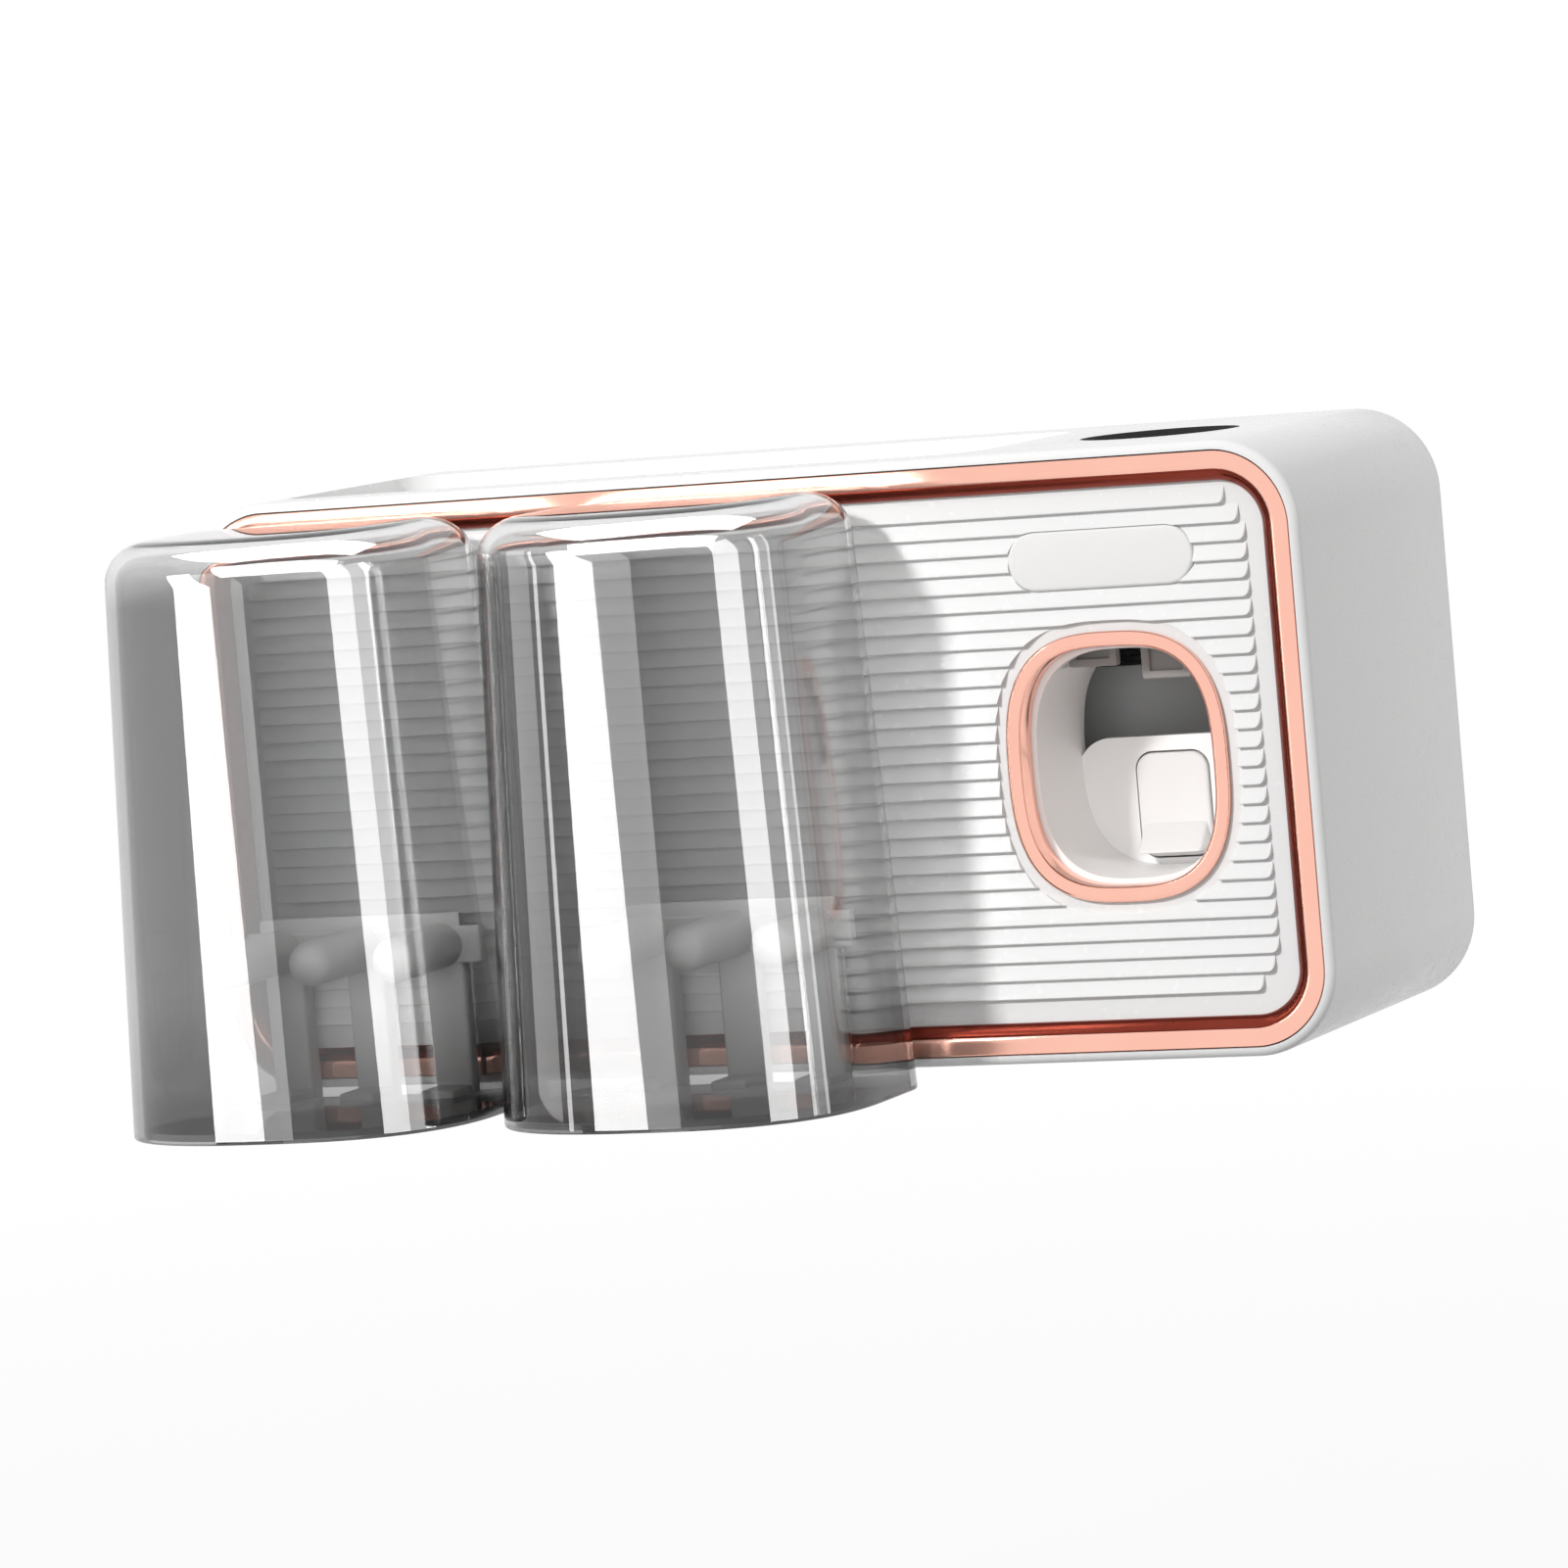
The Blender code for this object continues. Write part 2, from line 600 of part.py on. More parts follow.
def extrude_along_x(name, outline, half_length, x=0.0):
    """A flat outline of (depth, height) points made solid along X, as a cutter mesh."""
    curve = bpy.data.curves.new(name, "CURVE")
    curve.dimensions = "2D"
    curve.fill_mode = "BOTH"
    curve.extrude = half_length
    spline = curve.splines.new("POLY")
    spline.points.add(len(outline) - 1)
    for point, (depth, height) in zip(spline.points, outline):
        point.co = (behind(depth), height, 0, 1)
    spline.use_cyclic_u = True
    flat = bpy.data.objects.new(name, curve)
    flat.matrix_world = Matrix(((0, 0, 1, x), (1, 0, 0, 0), (0, 1, 0, 0), (0, 0, 0, 1)))
    CUTTERS.objects.link(flat)
    bpy.context.view_layer.update()
    graph = bpy.context.evaluated_depsgraph_get()
    mesh = bpy.data.meshes.new_from_object(flat.evaluated_get(graph))
    bm = bmesh.new()
    bm.from_mesh(mesh)
    bmesh.ops.remove_doubles(bm, verts=bm.verts, dist=MERGE)
    bmesh.ops.recalc_face_normals(bm, faces=bm.faces)
    bm.to_mesh(mesh)
    bm.free()
    solid = place(name + " solid", mesh, None, (0, 0, 0))
    solid.matrix_world = flat.matrix_world
    bpy.data.objects.remove(flat)
    return solid


def make_front_panel():
    sheet = plate(FRAME_HALF_WIDTH, FRAME_HALF_HEIGHT, FRAME_CORNER, behind(PANEL_FACE), behind(PANEL_BACK))
    panel = finish("front_panel", sheet, WHITE)
    visible = FRAME_FLAT + FRAME_SLOPE + RIB_MARGIN
    half_width = FRAME_HALF_WIDTH - visible
    half_height = FRAME_HALF_HEIGHT - visible + RIB_MARGIN / 2
    ribs = extrude_along_x("ribs", rib_profile(), half_width + OVERRUN)
    front = behind(PANEL_FACE - RIB_PROUD - OVERRUN)
    back = behind(PANEL_BACK)
    field = finish("rib field", plate(half_width, half_height, RIB_CORNER, front, back), None)
    combine(ribs, field, "INTERSECT")
    margin = oval(RING_HALF_WIDTH + WINDOW_MARGIN, RING_HALF_HEIGHT + WINDOW_MARGIN, front, back)
    badge = plate(BADGE_WIDTH / 2 + BADGE_MARGIN, BADGE_HEIGHT / 2 + BADGE_MARGIN,
                  BADGE_CORNER + BADGE_MARGIN - GAP, front, back, WINDOW_X, BADGE_Z)
    cut(ribs, finish("window margin", margin, None), finish("badge margin", badge, None))
    join(panel, ribs)
    hole = oval(SLEEVE_HALF_WIDTH + SLEEVE_WALL + GAP, SLEEVE_HALF_HEIGHT + SLEEVE_WALL + GAP,
                front, back + OVERRUN)
    cut(panel, finish("window hole", hole, None))
    for cup_x in CUP_XS:
        for side in (-1, 1):
            x = cup_x + side * PEG_PITCH
            end = back + OVERRUN
            bore = rod(RACK_SCREW_RADIUS + GAP, (x, front, RACK_Z), (x, end, RACK_Z), SMALL_SIDES)
            cut(panel, finish("rack screw hole", bore, None))


def make_badge_plate():
    back = behind(PANEL_FACE - GAP)
    face = back - BADGE_THICK
    badge = plate(BADGE_WIDTH / 2, BADGE_HEIGHT / 2, BADGE_CORNER - GAP, face, back, WINDOW_X, BADGE_Z)
    round_edges(badge, edges_at(badge, 1, face), BADGE_EDGE, FILLET_SEGMENTS)
    finish("badge_plate", badge, WHITE)


def make_window_trim():
    front = behind(PANEL_FACE - RING_PROUD)
    face_back = behind(PANEL_FACE - GAP)
    back = behind(PANEL_FACE + SLEEVE_DEPTH)
    flange = oval(RING_HALF_WIDTH, RING_HALF_HEIGHT, front, face_back)
    round_edges(flange, edges_at(flange, 1, front), SLEEVE_EDGE, FILLET_SEGMENTS)
    ring = finish("window_trim", flange, ROSE_GOLD)
    sleeve = oval(SLEEVE_HALF_WIDTH + SLEEVE_WALL, SLEEVE_HALF_HEIGHT + SLEEVE_WALL,
                  front + SLEEVE_EDGE, back)
    bore = oval(SLEEVE_HALF_WIDTH, SLEEVE_HALF_HEIGHT, front - OVERRUN, back + OVERRUN)
    join(ring, finish("ring sleeve", sleeve, None))
    cut(ring, finish("ring bore", bore, None))


def make_trough():
    front = behind(TROUGH_FRONT)
    step = behind(PANEL_FACE + SLEEVE_DEPTH + GAP)
    back = behind(TROUGH_BACK + BACK_WALL_THICK)
    sleeve_room = SLEEVE_WALL + GAP
    growth = SLEEVE_WALL + GAP + TROUGH_WALL
    collar = oval(SLEEVE_HALF_WIDTH + growth, SLEEVE_HALF_HEIGHT + growth,
                  front, behind(TROUGH_FRONT + TROUGH_COLLAR))
    trough = finish("squeezer_trough", collar, LINER_WHITE)
    tub = oval(TROUGH_HALF_WIDTH + TROUGH_WALL, TROUGH_HALF_HEIGHT + TROUGH_WALL, step, back)
    socket = oval(SLEEVE_HALF_WIDTH + sleeve_room, SLEEVE_HALF_HEIGHT + sleeve_room,
                  front - OVERRUN, step)
    inside = oval(TROUGH_HALF_WIDTH, TROUGH_HALF_HEIGHT, front - OVERRUN, back + OVERRUN)
    join(trough, finish("trough tub", tub, None))
    cut(trough, finish("sleeve socket", socket, None), finish("trough inside", inside, None))

    wall_low = WINDOW_Z - TROUGH_HALF_HEIGHT - TROUGH_WALL
    wall_middle = (BACK_WALL_TOP + wall_low) / 2
    wall = plate(TROUGH_HALF_WIDTH + TROUGH_WALL / 2, (BACK_WALL_TOP - wall_low) / 2, BACK_WALL_CORNER,
                 behind(TROUGH_BACK), back - GAP, WINDOW_X, wall_middle)
    wall_item = finish("trough back wall", wall, None)
    limit = oval(TROUGH_HALF_WIDTH + TROUGH_WALL / 2, TROUGH_HALF_HEIGHT + TROUGH_WALL / 2,
                 behind(TROUGH_BACK) - OVERRUN, back + OVERRUN)
    combine(wall_item, finish("back wall limit", limit, None), "INTERSECT")
    join(trough, wall_item)

    mouth = box((WINDOW_X - MOUTH_HALF_WIDTH, behind(MOUTH_FRONT), MOUTH_Z),
                (WINDOW_X + MOUTH_HALF_WIDTH, behind(MOUTH_BACK), WINDOW_Z + RING_HALF_HEIGHT + OVERRUN))
    pad_hole = plate(PAD_HALF_WIDTH + PAD_CLEARANCE, (PAD_TOP - PAD_BOTTOM) / 2 + PAD_CLEARANCE,
                     PAD_CORNER + PAD_CLEARANCE, behind(TROUGH_BACK) - OVERRUN, back + OVERRUN,
                     WINDOW_X, (PAD_TOP + PAD_BOTTOM) / 2)
    cut(trough, finish("nozzle mouth", mouth, None), finish("pad hole", pad_hole, None))
    for side in (-1, 1):
        x = WINDOW_X + side * POST_SPREAD
        root = back - BACK_WALL_THICK / 2
        post = rod(POST_RADIUS, (x, root, PUMP_Z), (x, behind(CYLINDER_FACE - GAP), PUMP_Z), SMALL_SIDES)
        bore = rod(SCREW_RADIUS + GAP, (x, behind(CYLINDER_FACE - PUMP_SCREW_LENGTH), PUMP_Z),
                   (x, behind(CYLINDER_FACE + OVERRUN), PUMP_Z), SMALL_SIDES)
        join(trough, finish("pump post", post, None))
        cut(trough, finish("post bore", bore, None))


def pump_point(depth):
    return (WINDOW_X, behind(depth), PUMP_Z)


def make_push_pad():
    middle = (PAD_TOP + PAD_BOTTOM) / 2
    face = plate(PAD_HALF_WIDTH, (PAD_TOP - PAD_BOTTOM) / 2, PAD_CORNER,
                 behind(PAD_FACE), behind(PAD_BACK), WINDOW_X, middle)
    pad = finish("push_pad", face, LINER_WHITE, pump_point(PAD_FACE))
    tip = behind(PAD_FACE - LIP_REACH)
    lip = box((WINDOW_X - LIP_HALF_WIDTH, tip, PAD_BOTTOM + PAD_CORNER / 3),
              (WINDOW_X + LIP_HALF_WIDTH, behind(PAD_FACE + PAD_THICK / 2), LIP_TOP))
    for vert in lip.verts:
        if vert.co.y < behind(PAD_FACE - LIP_REACH / 2) and vert.co.z > LIP_TOP - GAP:
            vert.co.y = behind(PAD_FACE - GAP)
    join(pad, finish("pad lip", lip, None))
    boss = rod(PAD_BOSS_RADIUS, pump_point(PAD_BACK - PAD_THICK / 2), pump_point(PAD_BACK + PAD_BOSS_LENGTH))
    socket = rod(ROD_RADIUS + GAP, pump_point(PAD_BACK), pump_point(PAD_BACK + PAD_BOSS_LENGTH + OVERRUN))
    join(pad, finish("pad boss", boss, None))
    cut(pad, finish("pad socket", socket, None))


def make_pump():
    piston_face = CYLINDER_FACE + CYLINDER_FRONT + GAP
    rod_start = PAD_BACK + GAP
    rod_end = piston_face + SOCKET_DEPTH - GAP
    shaft = rod(ROD_RADIUS, pump_point(rod_start), pump_point(rod_end))
    finish("pump_rod", shaft, STEEL, pump_point(rod_start))

    radius = CYLINDER_BORE - GAP
    groove_half = SEAL_RADIUS + GAP
    groove_floor = radius - 2 * SEAL_RADIUS - GAP
    groove_z = PISTON_LENGTH / 2 + SEAL_RADIUS
    bore = ROD_RADIUS + GAP
    piston = [
        (0, PISTON_LENGTH), (radius, PISTON_LENGTH), (radius, groove_z + groove_half),
        (groove_floor, groove_z + groove_half), (groove_floor, groove_z - groove_half),
        (radius, groove_z - groove_half), (radius, 0), (bore, 0), (bore, SOCKET_DEPTH), (0, SOCKET_DEPTH),
    ]
    turned("piston", piston, GREY, pump_point(piston_face), along_y=True)

    ring_radius = radius - SEAL_RADIUS
    ring = []
    for step in range(SMALL_SIDES // 2):
        angle = -math.tau * step / (SMALL_SIDES // 2)
        ring.append((ring_radius + SEAL_RADIUS * math.cos(angle), SEAL_RADIUS * math.sin(angle)))
    turned("piston_seal", ring, SILICONE, pump_point(piston_face + groove_z), along_y=True, closed=True)

    outer = CYLINDER_BORE + CYLINDER_WALL
    hole = ROD_RADIUS + GAP
    barrel = [
        (outer, CYLINDER_LENGTH), (outer, 0), (hole, 0), (hole, CYLINDER_FRONT),
        (CYLINDER_BORE, CYLINDER_FRONT), (CYLINDER_BORE, CYLINDER_LENGTH),
    ]
    cylinder = turned("pump_cylinder", barrel, GREY, pump_point(CYLINDER_FACE), along_y=True, closed=True)
    for side in (-1, 1):
        x = WINDOW_X + side * POST_SPREAD
        inner = WINDOW_X + side * (CYLINDER_BORE + CYLINDER_WALL / 2)
        outer_x = x + side * (POST_RADIUS + GAP)
        ear = box((min(inner, outer_x), behind(CYLINDER_FACE), PUMP_Z - FLANGE_HEIGHT / 2),
                  (max(inner, outer_x), behind(CYLINDER_FACE + FLANGE_THICK), PUMP_Z + FLANGE_HEIGHT / 2))
        bore = rod(SCREW_RADIUS + GAP, (x, behind(CYLINDER_FACE) - OVERRUN, PUMP_Z),
                   (x, behind(CYLINDER_FACE + FLANGE_THICK) + OVERRUN, PUMP_Z), SMALL_SIDES)
        join(cylinder, finish("cylinder ear", ear, None))
        cut(cylinder, finish("ear bore", bore, None))
        name = "pump_screw_left" if side < 0 else "pump_screw_right"
        reach = FLANGE_THICK + PUMP_SCREW_LENGTH - 2 * GAP
        make_screw(name, x, PUMP_Z, CYLINDER_FACE + FLANGE_THICK + GAP, reach, SCREW_RADIUS)


def make_return_spring():
    curve = bpy.data.curves.new("return_spring", "CURVE")
    curve.dimensions = "3D"
    curve.bevel_depth = SPRING_WIRE
    curve.bevel_resolution = 1
    curve.use_fill_caps = True
    start = SPRING_WIRE + GAP
    length = SPRING_ROOM - 2 * start
    count = SPRING_TURNS * SMALL_SIDES
    spline = curve.splines.new("POLY")
    spline.points.add(count)
    for number, point in enumerate(spline.points):
        angle = math.tau * number / SMALL_SIDES
        along = start + length * number / count
        point.co = (SPRING_RADIUS * math.cos(angle), along, SPRING_RADIUS * math.sin(angle), 1)
    spring = bpy.data.objects.new("return_spring", curve)
    spring.location = pump_point(PAD_BACK)
    curve.materials.append(STEEL)
    PARTS.objects.link(spring)
    places = [Vector(point.co[:3]) for point in spline.points]
    nearest = min((places[i] - places[j]).length for i in range(len(places))
                  for j in range(i + SMALL_SIDES // 2, len(places)))
    print("return_spring least gap to itself, mm:", round((nearest - 2 * SPRING_WIRE) / MM, 2))


def make_pump_head():
    cap_front = CYLINDER_END + GAP
    cap_back = cap_front + CAP_THICK
    outer = CYLINDER_BORE + CYLINDER_WALL
    head = finish("pump_head", rod(outer, pump_point(cap_front), pump_point(cap_back)), GREY)
    riser = box((WINDOW_X - RISER_HALF_WIDTH, behind(cap_front), PUMP_Z - RISER_HALF_WIDTH),
                (WINDOW_X + RISER_HALF_WIDTH, behind(cap_back), DUCT_BOTTOM + OVERRUN))
    duct = box((WINDOW_X - DUCT_HALF_WIDTH, behind(HEAD_FRONT + HEAD_LENGTH / 2), DUCT_BOTTOM),
               (WINDOW_X + DUCT_HALF_WIDTH, behind(cap_back + GAP), DUCT_TOP))
    nose = box((WINDOW_X - HEAD_HALF_WIDTH, behind(HEAD_FRONT), DUCT_BOTTOM - GAP),
               (WINDOW_X + HEAD_HALF_WIDTH, behind(HEAD_FRONT + HEAD_LENGTH), DUCT_TOP - 2 * GAP))
    join(head, finish("riser", riser, None), finish("duct", duct, None), finish("head nose", nose, None))

    entry = rod(CHANNEL_RADIUS, pump_point(cap_front - OVERRUN), pump_point(RISER_DEPTH), SMALL_SIDES)
    up = rod(CHANNEL_RADIUS, (WINDOW_X, behind(RISER_DEPTH), PUMP_Z - CHANNEL_RADIUS / 2),
             (WINDOW_X, behind(RISER_DEPTH), CHANNEL_Z + CHANNEL_RADIUS / 2), SMALL_SIDES)
    across = rod(CHANNEL_RADIUS - GAP, (WINDOW_X, behind(NOZZLE_DEPTH), CHANNEL_Z),
                 (WINDOW_X, behind(RISER_DEPTH + CHANNEL_RADIUS / 2), CHANNEL_Z), SMALL_SIDES)
    outlet = rod(OUTLET_RADIUS, (WINDOW_X, behind(NOZZLE_DEPTH), DUCT_BOTTOM - OVERRUN),
                 (WINDOW_X, behind(NOZZLE_DEPTH), CHANNEL_Z + CHANNEL_RADIUS), SMALL_SIDES)
    inlet = rod(INLET_RADIUS, (WINDOW_X, behind(TUBE_DEPTH), CHANNEL_Z),
                (WINDOW_X, behind(TUBE_DEPTH), DUCT_TOP + OVERRUN), SMALL_SIDES)
    cut(head, finish("entry channel", entry, None), finish("riser channel", up, None),
        finish("duct channel", across, None), finish("outlet", outlet, None), finish("inlet", inlet, None))


def make_valves_and_nozzle():
    radius = OUTLET_RADIUS - GAP
    base = DUCT_BOTTOM + GAP
    duckbill = [
        (0, OUTLET_VALVE_LENGTH), (radius / 3, OUTLET_VALVE_LENGTH), (radius, OUTLET_VALVE_LENGTH / 3),
        (radius, 0), (0, 0),
    ]
    turned("outlet_valve", duckbill, SILICONE, (WINDOW_X, behind(NOZZLE_DEPTH), base), sides=SMALL_SIDES)
    flap_radius = INLET_RADIUS - GAP
    flap = [(0, INLET_VALVE_THICK), (flap_radius, INLET_VALVE_THICK / 2), (flap_radius, 0), (0, 0)]
    flap_base = (WINDOW_X, behind(TUBE_DEPTH), DUCT_TOP - 2 * INLET_VALVE_THICK)
    turned("inlet_valve", flap, SILICONE, flap_base, sides=SMALL_SIDES)
    top = DUCT_BOTTOM - 2 * GAP
    spout = [
        (NOZZLE_RADIUS, 0), (NOZZLE_RADIUS, -NOZZLE_DROP / 2), (NOZZLE_BORE + GAP, -NOZZLE_DROP),
        (NOZZLE_BORE, -NOZZLE_DROP), (NOZZLE_BORE, 0),
    ]
    turned("nozzle", spout, LINER_WHITE, (WINDOW_X, behind(NOZZLE_DEPTH), top), closed=True)
    lip_radius = TUBE_HOLE_RADIUS - GAP
    hole = SEAT_HOLE_RADIUS
    seat = [
        (lip_radius, SEAT_HEIGHT), (lip_radius, SEAT_HEIGHT - SEAT_WALL),
        (SEAT_NECK_RADIUS + SEAT_WALL, SEAT_WALL), (SEAT_FOOT_RADIUS, SEAT_WALL), (SEAT_FOOT_RADIUS, 0),
        (hole, 0), (hole, SEAT_WALL), (SEAT_NECK_RADIUS, SEAT_WALL * 2),
        (lip_radius - SEAT_WALL, SEAT_HEIGHT),
    ]
    turned("tube_seat", seat, SILICONE, (WINDOW_X, behind(TUBE_DEPTH), DUCT_TOP + GAP), closed=True)


def make_guide_lugs():
    top = DUCT_BOTTOM - 2 * GAP
    lugs = ((-1, LUG_LEFT_BOTTOM, "guide_lug_left"), (1, LUG_RIGHT_BOTTOM, "guide_lug_right"))
    for side, bottom, name in lugs:
        near = WINDOW_X + side * LUG_INNER
        far = near + side * LUG_WIDTH
        tab = box((min(near, far), behind(LUG_DEPTH), bottom),
                  (max(near, far), behind(LUG_DEPTH + LUG_THICK), top))
        lug = finish(name, tab, LINER_WHITE)
        pocket = box((min(near, far) + LUG_RIM, behind(LUG_DEPTH) - OVERRUN, bottom + LUG_RIM),
                     (max(near, far) - LUG_RIM, behind(LUG_DEPTH + LUG_POCKET), top - LUG_RIM))
        cut(lug, finish("lug pocket", pocket, None))


def cup_outline(half_width, depth, corner):
    """The cup's plan: a flat back, short straight sides and a squared-off round front."""
    side = depth * CUP_SIDE_SHARE
    nose = depth - side
    points = []
    front_steps = CUP_SIDES // 2
    for step in range(front_steps + 1):
        angle = math.pi + math.pi * step / front_steps
        across = math.cos(angle)
        ahead = math.sin(angle)
        power = 2 / CUP_FRONT_EXPONENT
        x = half_width * math.copysign(abs(across) ** power, across)
        points.append((x, -side - nose * abs(ahead) ** power))
    back_steps = (CUP_SIDES - front_steps - 1) // 2
    for turn, middle in ((0, half_width - corner), (math.pi / 2, corner - half_width)):
        for step in range(back_steps + 1 - (turn > 0)):
            angle = turn + (math.pi / 2) * step / (back_steps - (turn > 0))
            points.append((middle + corner * math.cos(angle), -corner + corner * math.sin(angle)))
    return points


def make_cup(name, x):
    """An inverted cup: a tapered body with a round shoulder, hollowed from its rim."""
    rim = cup_outline(CUP_HALF_WIDTH, CUP_DEPTH, CUP_BACK_CORNER)
    top = cup_outline(CUP_HALF_WIDTH - CUP_DRAFT, CUP_DEPTH - CUP_FRONT_DRAFT,
                      CUP_BACK_CORNER - CUP_DRAFT / 2)
    back = behind(-CUP_BACK_GAP)
    bm = bmesh.new()
    bmesh.ops.create_cone(bm, cap_ends=True, segments=len(rim), radius1=UNIT, radius2=UNIT, depth=UNIT)
    lower = sorted((v for v in bm.verts if v.co.z < 0), key=lambda v: math.atan2(v.co.y, v.co.x))
    upper = sorted((v for v in bm.verts if v.co.z > 0), key=lambda v: math.atan2(v.co.y, v.co.x))
    for vert, (across, ahead) in zip(lower, rim):
        vert.co = Vector((x + across, back + ahead, CUP_RIM_Z))
    for vert, (across, ahead) in zip(upper, top):
        vert.co = Vector((x + across, back + ahead, CUP_TOP_Z))
    round_edges(bm, edges_at(bm, 2, CUP_TOP_Z), CUP_SHOULDER, SHOULDER_SEGMENTS)
    mouth = [face for face in bm.faces if all(abs(v.co.z - CUP_RIM_Z) < GAP for v in face.verts)]
    bmesh.ops.delete(bm, geom=mouth, context="FACES_ONLY")
    cup = finish(name, bm, SMOKE, (x, back - CUP_DEPTH / 2, CUP_RIM_Z))
    shell = cup.modifiers.new("wall", "SOLIDIFY")
    shell.thickness = CUP_WALL
    shell.offset = -1
    shell.use_even_offset = True
    half = NECK_HALF_WIDTH + GAP
    notch = box((x - half, back - CUP_WALL - OVERRUN, CUP_RIM_Z - OVERRUN),
                (x + half, back + OVERRUN, RAIL_TOP + GAP))
    cut(cup, finish(name + " notch", notch, None))


def make_peg(x):
    """A round peg with a domed tip, lying along Y in front of the rail."""
    tip = behind(-PEG_REACH)
    length = behind(RAIL_BACK - RAIL_THICK / 2) - tip
    profile = [(0, 0)]
    for step in range(1, SHOULDER_SEGMENTS + 1):
        angle = (math.pi / 2) * step / SHOULDER_SEGMENTS
        profile.append((PEG_RADIUS * math.sin(angle), -PEG_RADIUS * (1 - math.cos(angle))))
    profile += [(PEG_RADIUS - GAP / 2, -length), (0, -length)]
    peg = turned("peg", profile, None, (x, tip, RACK_Z), sides=SMALL_SIDES)
    peg.rotation_euler = (math.pi / 2, 0, 0)
    return peg


def make_rack(name, x):
    """A rail that hooks behind the cup's back wall and carries three pegs on footed posts."""
    rail_front = behind(RAIL_BACK - RAIL_THICK)
    rail = box((x - RAIL_HALF_WIDTH, rail_front, RAIL_BOTTOM),
               (x + RAIL_HALF_WIDTH, behind(RAIL_BACK), RAIL_TOP))
    rack = finish(name, rail, GREY)
    middle = behind(RAIL_BACK - RAIL_THICK / 2)
    lip = box((x - NECK_HALF_WIDTH, rail_front + GAP, RACK_Z),
              (x + NECK_HALF_WIDTH, behind(RAIL_BACK - GAP), RAIL_TOP + RAIL_LIP))
    neck = box((x - NECK_HALF_WIDTH, middle, RAIL_BOTTOM + GAP),
               (x + NECK_HALF_WIDTH, behind(PANEL_FACE - RIB_PROUD - GAP), RAIL_TOP - GAP))
    join(rack, finish("rail lip", lip, None), finish("rail neck", neck, None))
    for number in (-1, 0, 1):
        peg_x = x + number * PEG_PITCH
        half = POST_WIDTH / 2
        post = box((peg_x - half, behind(-POST_FRONT), POST_BOTTOM), (peg_x + half, behind(-GAP), RACK_Z))
        foot = box((peg_x - half + GAP, behind(-FOOT_REACH), POST_BOTTOM + GAP),
                   (peg_x + half - GAP, behind(-GAP * 2), POST_BOTTOM + FOOT_HEIGHT))
        join(rack, finish("post", post, None), finish("foot", foot, None), make_peg(peg_x))
    screw_depth = PANEL_BACK + GAP
    tip = behind(screw_depth - RACK_SCREW_LENGTH - GAP)
    for side, label in ((-1, "a"), (1, "b")):
        screw_x = x + side * PEG_PITCH
        bore = rod(RACK_SCREW_RADIUS + GAP, (screw_x, tip, RACK_Z), (screw_x, behind(PANEL_FACE), RACK_Z),
                   SMALL_SIDES)
        cut(rack, finish("rack bore", bore, None))
        name_of_screw = f"{name}_screw_{label}"
        make_screw(name_of_screw, screw_x, RACK_Z, screw_depth, RACK_SCREW_LENGTH, RACK_SCREW_RADIUS)


make_wall_fixing()
make_rear_cover()
make_housing()
make_trim_frame()
make_front_panel()
make_badge_plate()
make_window_trim()
make_trough()
make_push_pad()
make_pump()
make_return_spring()
make_pump_head()
make_valves_and_nozzle()
make_guide_lugs()
for side_name, cup_x in zip(("left", "right"), CUP_XS):
    make_cup(f"cup_{side_name}", cup_x)
    make_rack(f"rack_{side_name}", cup_x)
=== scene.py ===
import math

import bmesh
import bpy
from mathutils import Matrix, Quaternion, Vector


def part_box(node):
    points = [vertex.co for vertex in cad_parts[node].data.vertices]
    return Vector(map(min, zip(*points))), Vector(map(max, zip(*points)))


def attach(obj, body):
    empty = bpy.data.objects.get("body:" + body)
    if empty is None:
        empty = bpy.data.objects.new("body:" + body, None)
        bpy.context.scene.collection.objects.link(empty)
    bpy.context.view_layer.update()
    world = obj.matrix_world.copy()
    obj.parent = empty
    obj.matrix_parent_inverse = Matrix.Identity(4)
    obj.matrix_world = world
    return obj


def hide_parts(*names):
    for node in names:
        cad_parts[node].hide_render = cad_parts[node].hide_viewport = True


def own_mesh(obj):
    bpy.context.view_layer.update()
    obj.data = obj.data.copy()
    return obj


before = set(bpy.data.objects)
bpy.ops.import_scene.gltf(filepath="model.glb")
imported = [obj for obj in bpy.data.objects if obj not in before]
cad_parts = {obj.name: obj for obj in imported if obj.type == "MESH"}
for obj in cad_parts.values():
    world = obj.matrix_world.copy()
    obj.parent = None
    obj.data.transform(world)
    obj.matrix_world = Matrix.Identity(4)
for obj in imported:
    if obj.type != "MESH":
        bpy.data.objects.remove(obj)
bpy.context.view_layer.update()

MM = 0.001

# Sizes in millimetres, the same as the frame's. FRONT is the front of the white rim, and depths count
# back from there. WINDOW and BADGE are places across and up, and levels are heights.
FRONT = -95.6
BODY_HALF_WIDTH, BODY_HALF_HEIGHT, BODY_DEPTH, BODY_CORNER = 128, 64, 92, 18.3
TUBE_DEPTH, TUBE_RADIUS = 43, 17
FRAME_HALF_WIDTH, FRAME_HALF_HEIGHT, FRAME_CORNER = 125.3, 61.3, 15.6
PANEL_FACE, PANEL_BACK = 3.4, 5.8
RIB_COUNT, RIB_TOP, RIB_BOTTOM, RIB_PROUD = 27, 50.8, -50.34, 1.5
WINDOW = (83.2, -2.6)
BADGE = (83.2, 40.9)
WINDOW_HOLE = (22.8, 26.6)
TUB_FRONT, TUB_BACK = 6.1, 36.4
PAD_HALF_WIDTH, PAD_HALF_HEIGHT, PAD_CORNER, PAD_LEVEL = 8, 11, 3.6, -14
CUP_MIDDLES = {"left": -91.8, "right": -3.8}
